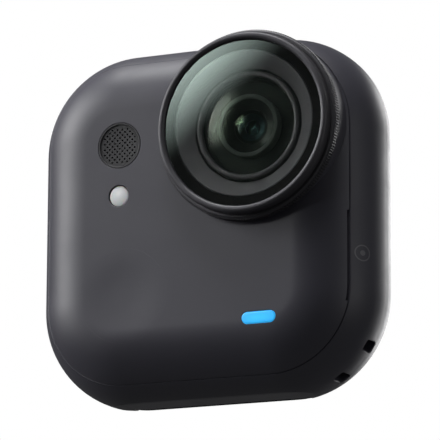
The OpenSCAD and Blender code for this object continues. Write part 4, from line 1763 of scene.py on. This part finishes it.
class Inside:
    """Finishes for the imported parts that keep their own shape."""

    FINISHES: dict[str, Finish] = {
        "cover_plastic": COVER, "shell_plastic": SHELL, "back_plastic": BACK,
        "grille_plastic": GRILLE, "black_plastic": BLACK, "pale_plastic": PALE,
        "black_rubber": RUBBER, "ring_metal": RING,
        "bezel_metal": BEZEL, "black_metal": INNER, "magnet_metal": STEEL, "gold_contact": GOLD,
        "shield_metal": STEEL, "screw_steel": STEEL, "copper_sheet": COPPER,
        "guard_glass": GUARD_GLASS, "lens_glass": DEEP_GLASS, "lamp_diffuser": WHITE_LAMP,
        "status_light": BLUE_LAMP, "sensor_chip": CHIP, "circuit_board": MASK,
        "pale_membrane": WEAVE, "battery_wrap": WRAP}

    def build(self) -> None:
        """Puts each part's finish in its own material slots."""
        slots = {part["node"]: part["material_slot"] for part in frame["record"]["subparts"]}
        for node, piece in frame["nodes"].items():
            finish = INNER if node == "lens_barrel" else self.FINISHES[slots[node]]
            material = finish.material()
            if not piece.material_slots:
                piece.data.materials.append(material)
            for held in piece.material_slots:
                held.material = material
            log.info("%s: %s", node, finish.name)


# --------------------------------------------------------------------------- studio


@dataclass(frozen=True)
class Softbox:
    """An area light with soft edges that looks at a point near the object."""

    name: str
    azimuth: float
    elevation: float
    distance: float
    size: Point
    power: float
    shift: Point = (0.0, 0.0)
    edge: float = 0.2
    roll: float = 0.0

    def build(self, target: Vector) -> None:
        """Makes the light. Azimuth 0 is in front of the lens, and 90 is on the right.

        Args:
            target: The point that the light looks at, in metres.
        """
        light = bpy.data.lights.new(self.name, "AREA")
        light.shape = "RECTANGLE"
        light.size, light.size_y = self.size
        light.energy = self.power
        light.use_nodes = True
        t = Tree(light.node_tree)
        place = t.add("ShaderNodeNewGeometry").outputs["Parametric"]
        parts = t.add("ShaderNodeSeparateXYZ", {0: place}).outputs
        near = None
        for axis in ("X", "Y"):
            away = t.math("SUBTRACT", 0.5, t.math("ABSOLUTE", t.math("SUBTRACT", parts[axis], 0.5)))
            near = away if near is None else t.math("MINIMUM", near, away)
        soft = t.add("ShaderNodeMapRange", {"Value": near, "From Max": self.edge},
                     interpolation_type="SMOOTHSTEP").outputs["Result"]
        glow = t.add("ShaderNodeEmission", {"Strength": soft})
        t.add("ShaderNodeOutputLight", {"Surface": glow.outputs[0]})
        lamp = bpy.data.objects.new(self.name, light)
        bpy.context.scene.collection.objects.link(lamp)
        a, e = radians(self.azimuth), radians(self.elevation)
        away = Vector((sin(a) * cos(e), -cos(a) * cos(e), sin(e)))
        turn = away.to_track_quat("Z", "Y")
        lamp.location = target + away * self.distance + turn @ Vector((*self.shift, 0.0))
        lamp.rotation_euler = (turn @ Euler((0, 0, radians(self.roll))).to_quaternion()).to_euler()
        lamp.visible_camera = False


@dataclass
class Studio:
    """Floor, light and camera."""

    azimuth: float = 24.76
    elevation: float = -12.68
    roll: float = -0.24
    distance: float = 433.0
    lens: float = 281.0
    pan: Point = (0.99, 0.53)
    floor_z: float = -700.0
    floor_reach: float = 4000.0
    sky_span: Point = (-0.9, -0.3)
    sky_light: Point = (0.03, 0.1)
    sensor: float = 36.0
    clip: float = 0.01
    aim: tuple[float, float, float] = (0.0, -7.5, 0.0)
    light_aim: tuple[float, float, float] = (0.0, -8.0, 0.0)
    lights: tuple[Softbox, ...] = (
        Softbox("key_left", -67, 23, 0.5, (0.44, 0.5), 6.3, edge=0.42),
        Softbox("top_strip", -30, 76, 0.5, (0.5, 0.22), 4.0),
        Softbox("glass_glow", -24.8, 12.7, 0.5, (0.12, 0.08), 0.6, (-0.031, 0.0405), 0.48, 45),
        Softbox("side_right", 78, 2, 0.8, (0.5, 0.5), 0.8),
        Softbox("rim_right", 168, 8, 0.5, (0.3, 0.5), 2.6))

    def camera(self) -> None:
        """The camera, looking up at the object from its lower right."""
        a, e = radians(self.azimuth), radians(self.elevation)
        away = Vector((sin(a) * cos(e), -cos(a) * cos(e), sin(e)))
        side = Vector((cos(a), sin(a), 0.0))
        up = away.cross(side)
        spin = Matrix.Rotation(radians(self.roll), 3, -away)
        side, up = spin @ side, spin @ up
        target = mm(*self.aim) + mm(*(side * self.pan[0] + up * self.pan[1]))
        data = bpy.data.cameras.new("studio_camera")
        data.lens = self.lens
        data.sensor_width = self.sensor
        data.clip_start = self.clip
        camera = bpy.data.objects.new("studio_camera", data)
        bpy.context.scene.collection.objects.link(camera)
        place = Matrix((side, up, away)).transposed().to_4x4()
        place.translation = target + away * self.distance * MM
        camera.matrix_world = place
        bpy.context.scene.camera = camera

    def floor(self) -> None:
        """A plain pale floor."""
        reach, z = self.floor_reach, self.floor_z
        corners = ((-reach, -reach, z), (reach, -reach, z), (reach, reach, z), (-reach, reach, z))
        piece = new_piece("studio_floor", corners, [(0, 1, 2, 3)])
        piece.data.materials.append(Lamp("pale_floor", (0.8, 0.8, 0.8), light=(0.9, 0.9, 0.9),
                                         strength=0.98, reach=(6 * reach, 6 * reach),
                                         roughness=0.8).material())
        piece.visible_diffuse = False
        piece.visible_glossy = False
        piece.visible_transmission = False

    def world(self) -> None:
        """White to look at, dimmer as a light, and darkest from the front."""
        world = bpy.data.worlds.new("studio_world")
        bpy.context.scene.world = world
        world.use_nodes = True
        t = Tree(world.node_tree)
        way = t.add("ShaderNodeTexCoord").outputs["Generated"]
        back = t.add("ShaderNodeSeparateXYZ", {0: way}).outputs["Y"]
        (low, high), (dark, light) = self.sky_span, self.sky_light
        glow = t.add("ShaderNodeMapRange", {"Value": back, "From Min": low, "From Max": high,
                                            "To Min": dark, "To Max": light}).outputs["Result"]
        seen = t.add("ShaderNodeLightPath").outputs["Is Camera Ray"]
        strength = t.math("MAXIMUM", glow, seen)
        sky = t.add("ShaderNodeBackground", {"Color": (1, 1, 1, 1), "Strength": strength})
        t.add("ShaderNodeOutputWorld", {"Surface": sky.outputs[0]})

    def build(self) -> None:
        """Sets the studio up."""
        bpy.context.scene.view_settings.view_transform = "Standard"
        self.camera()
        self.floor()
        self.world()
        for softbox in self.lights:
            softbox.build(mm(*self.light_aim))


def main() -> None:
    """Builds every part of the model in order."""
    logging.basicConfig(level=logging.INFO, format="%(name)s: %(message)s")
    shape = BodyShape()
    details = FrontDetails(shape)
    back = Back()
    Inside().build()
    Casing(shape).build(details, back)
    LensGuard().build()
    LensStack().build()
    details.build()
    BaseDoor().build(shape)
    back.build()
    Studio().build()


if __name__ == "__main__":
    main()
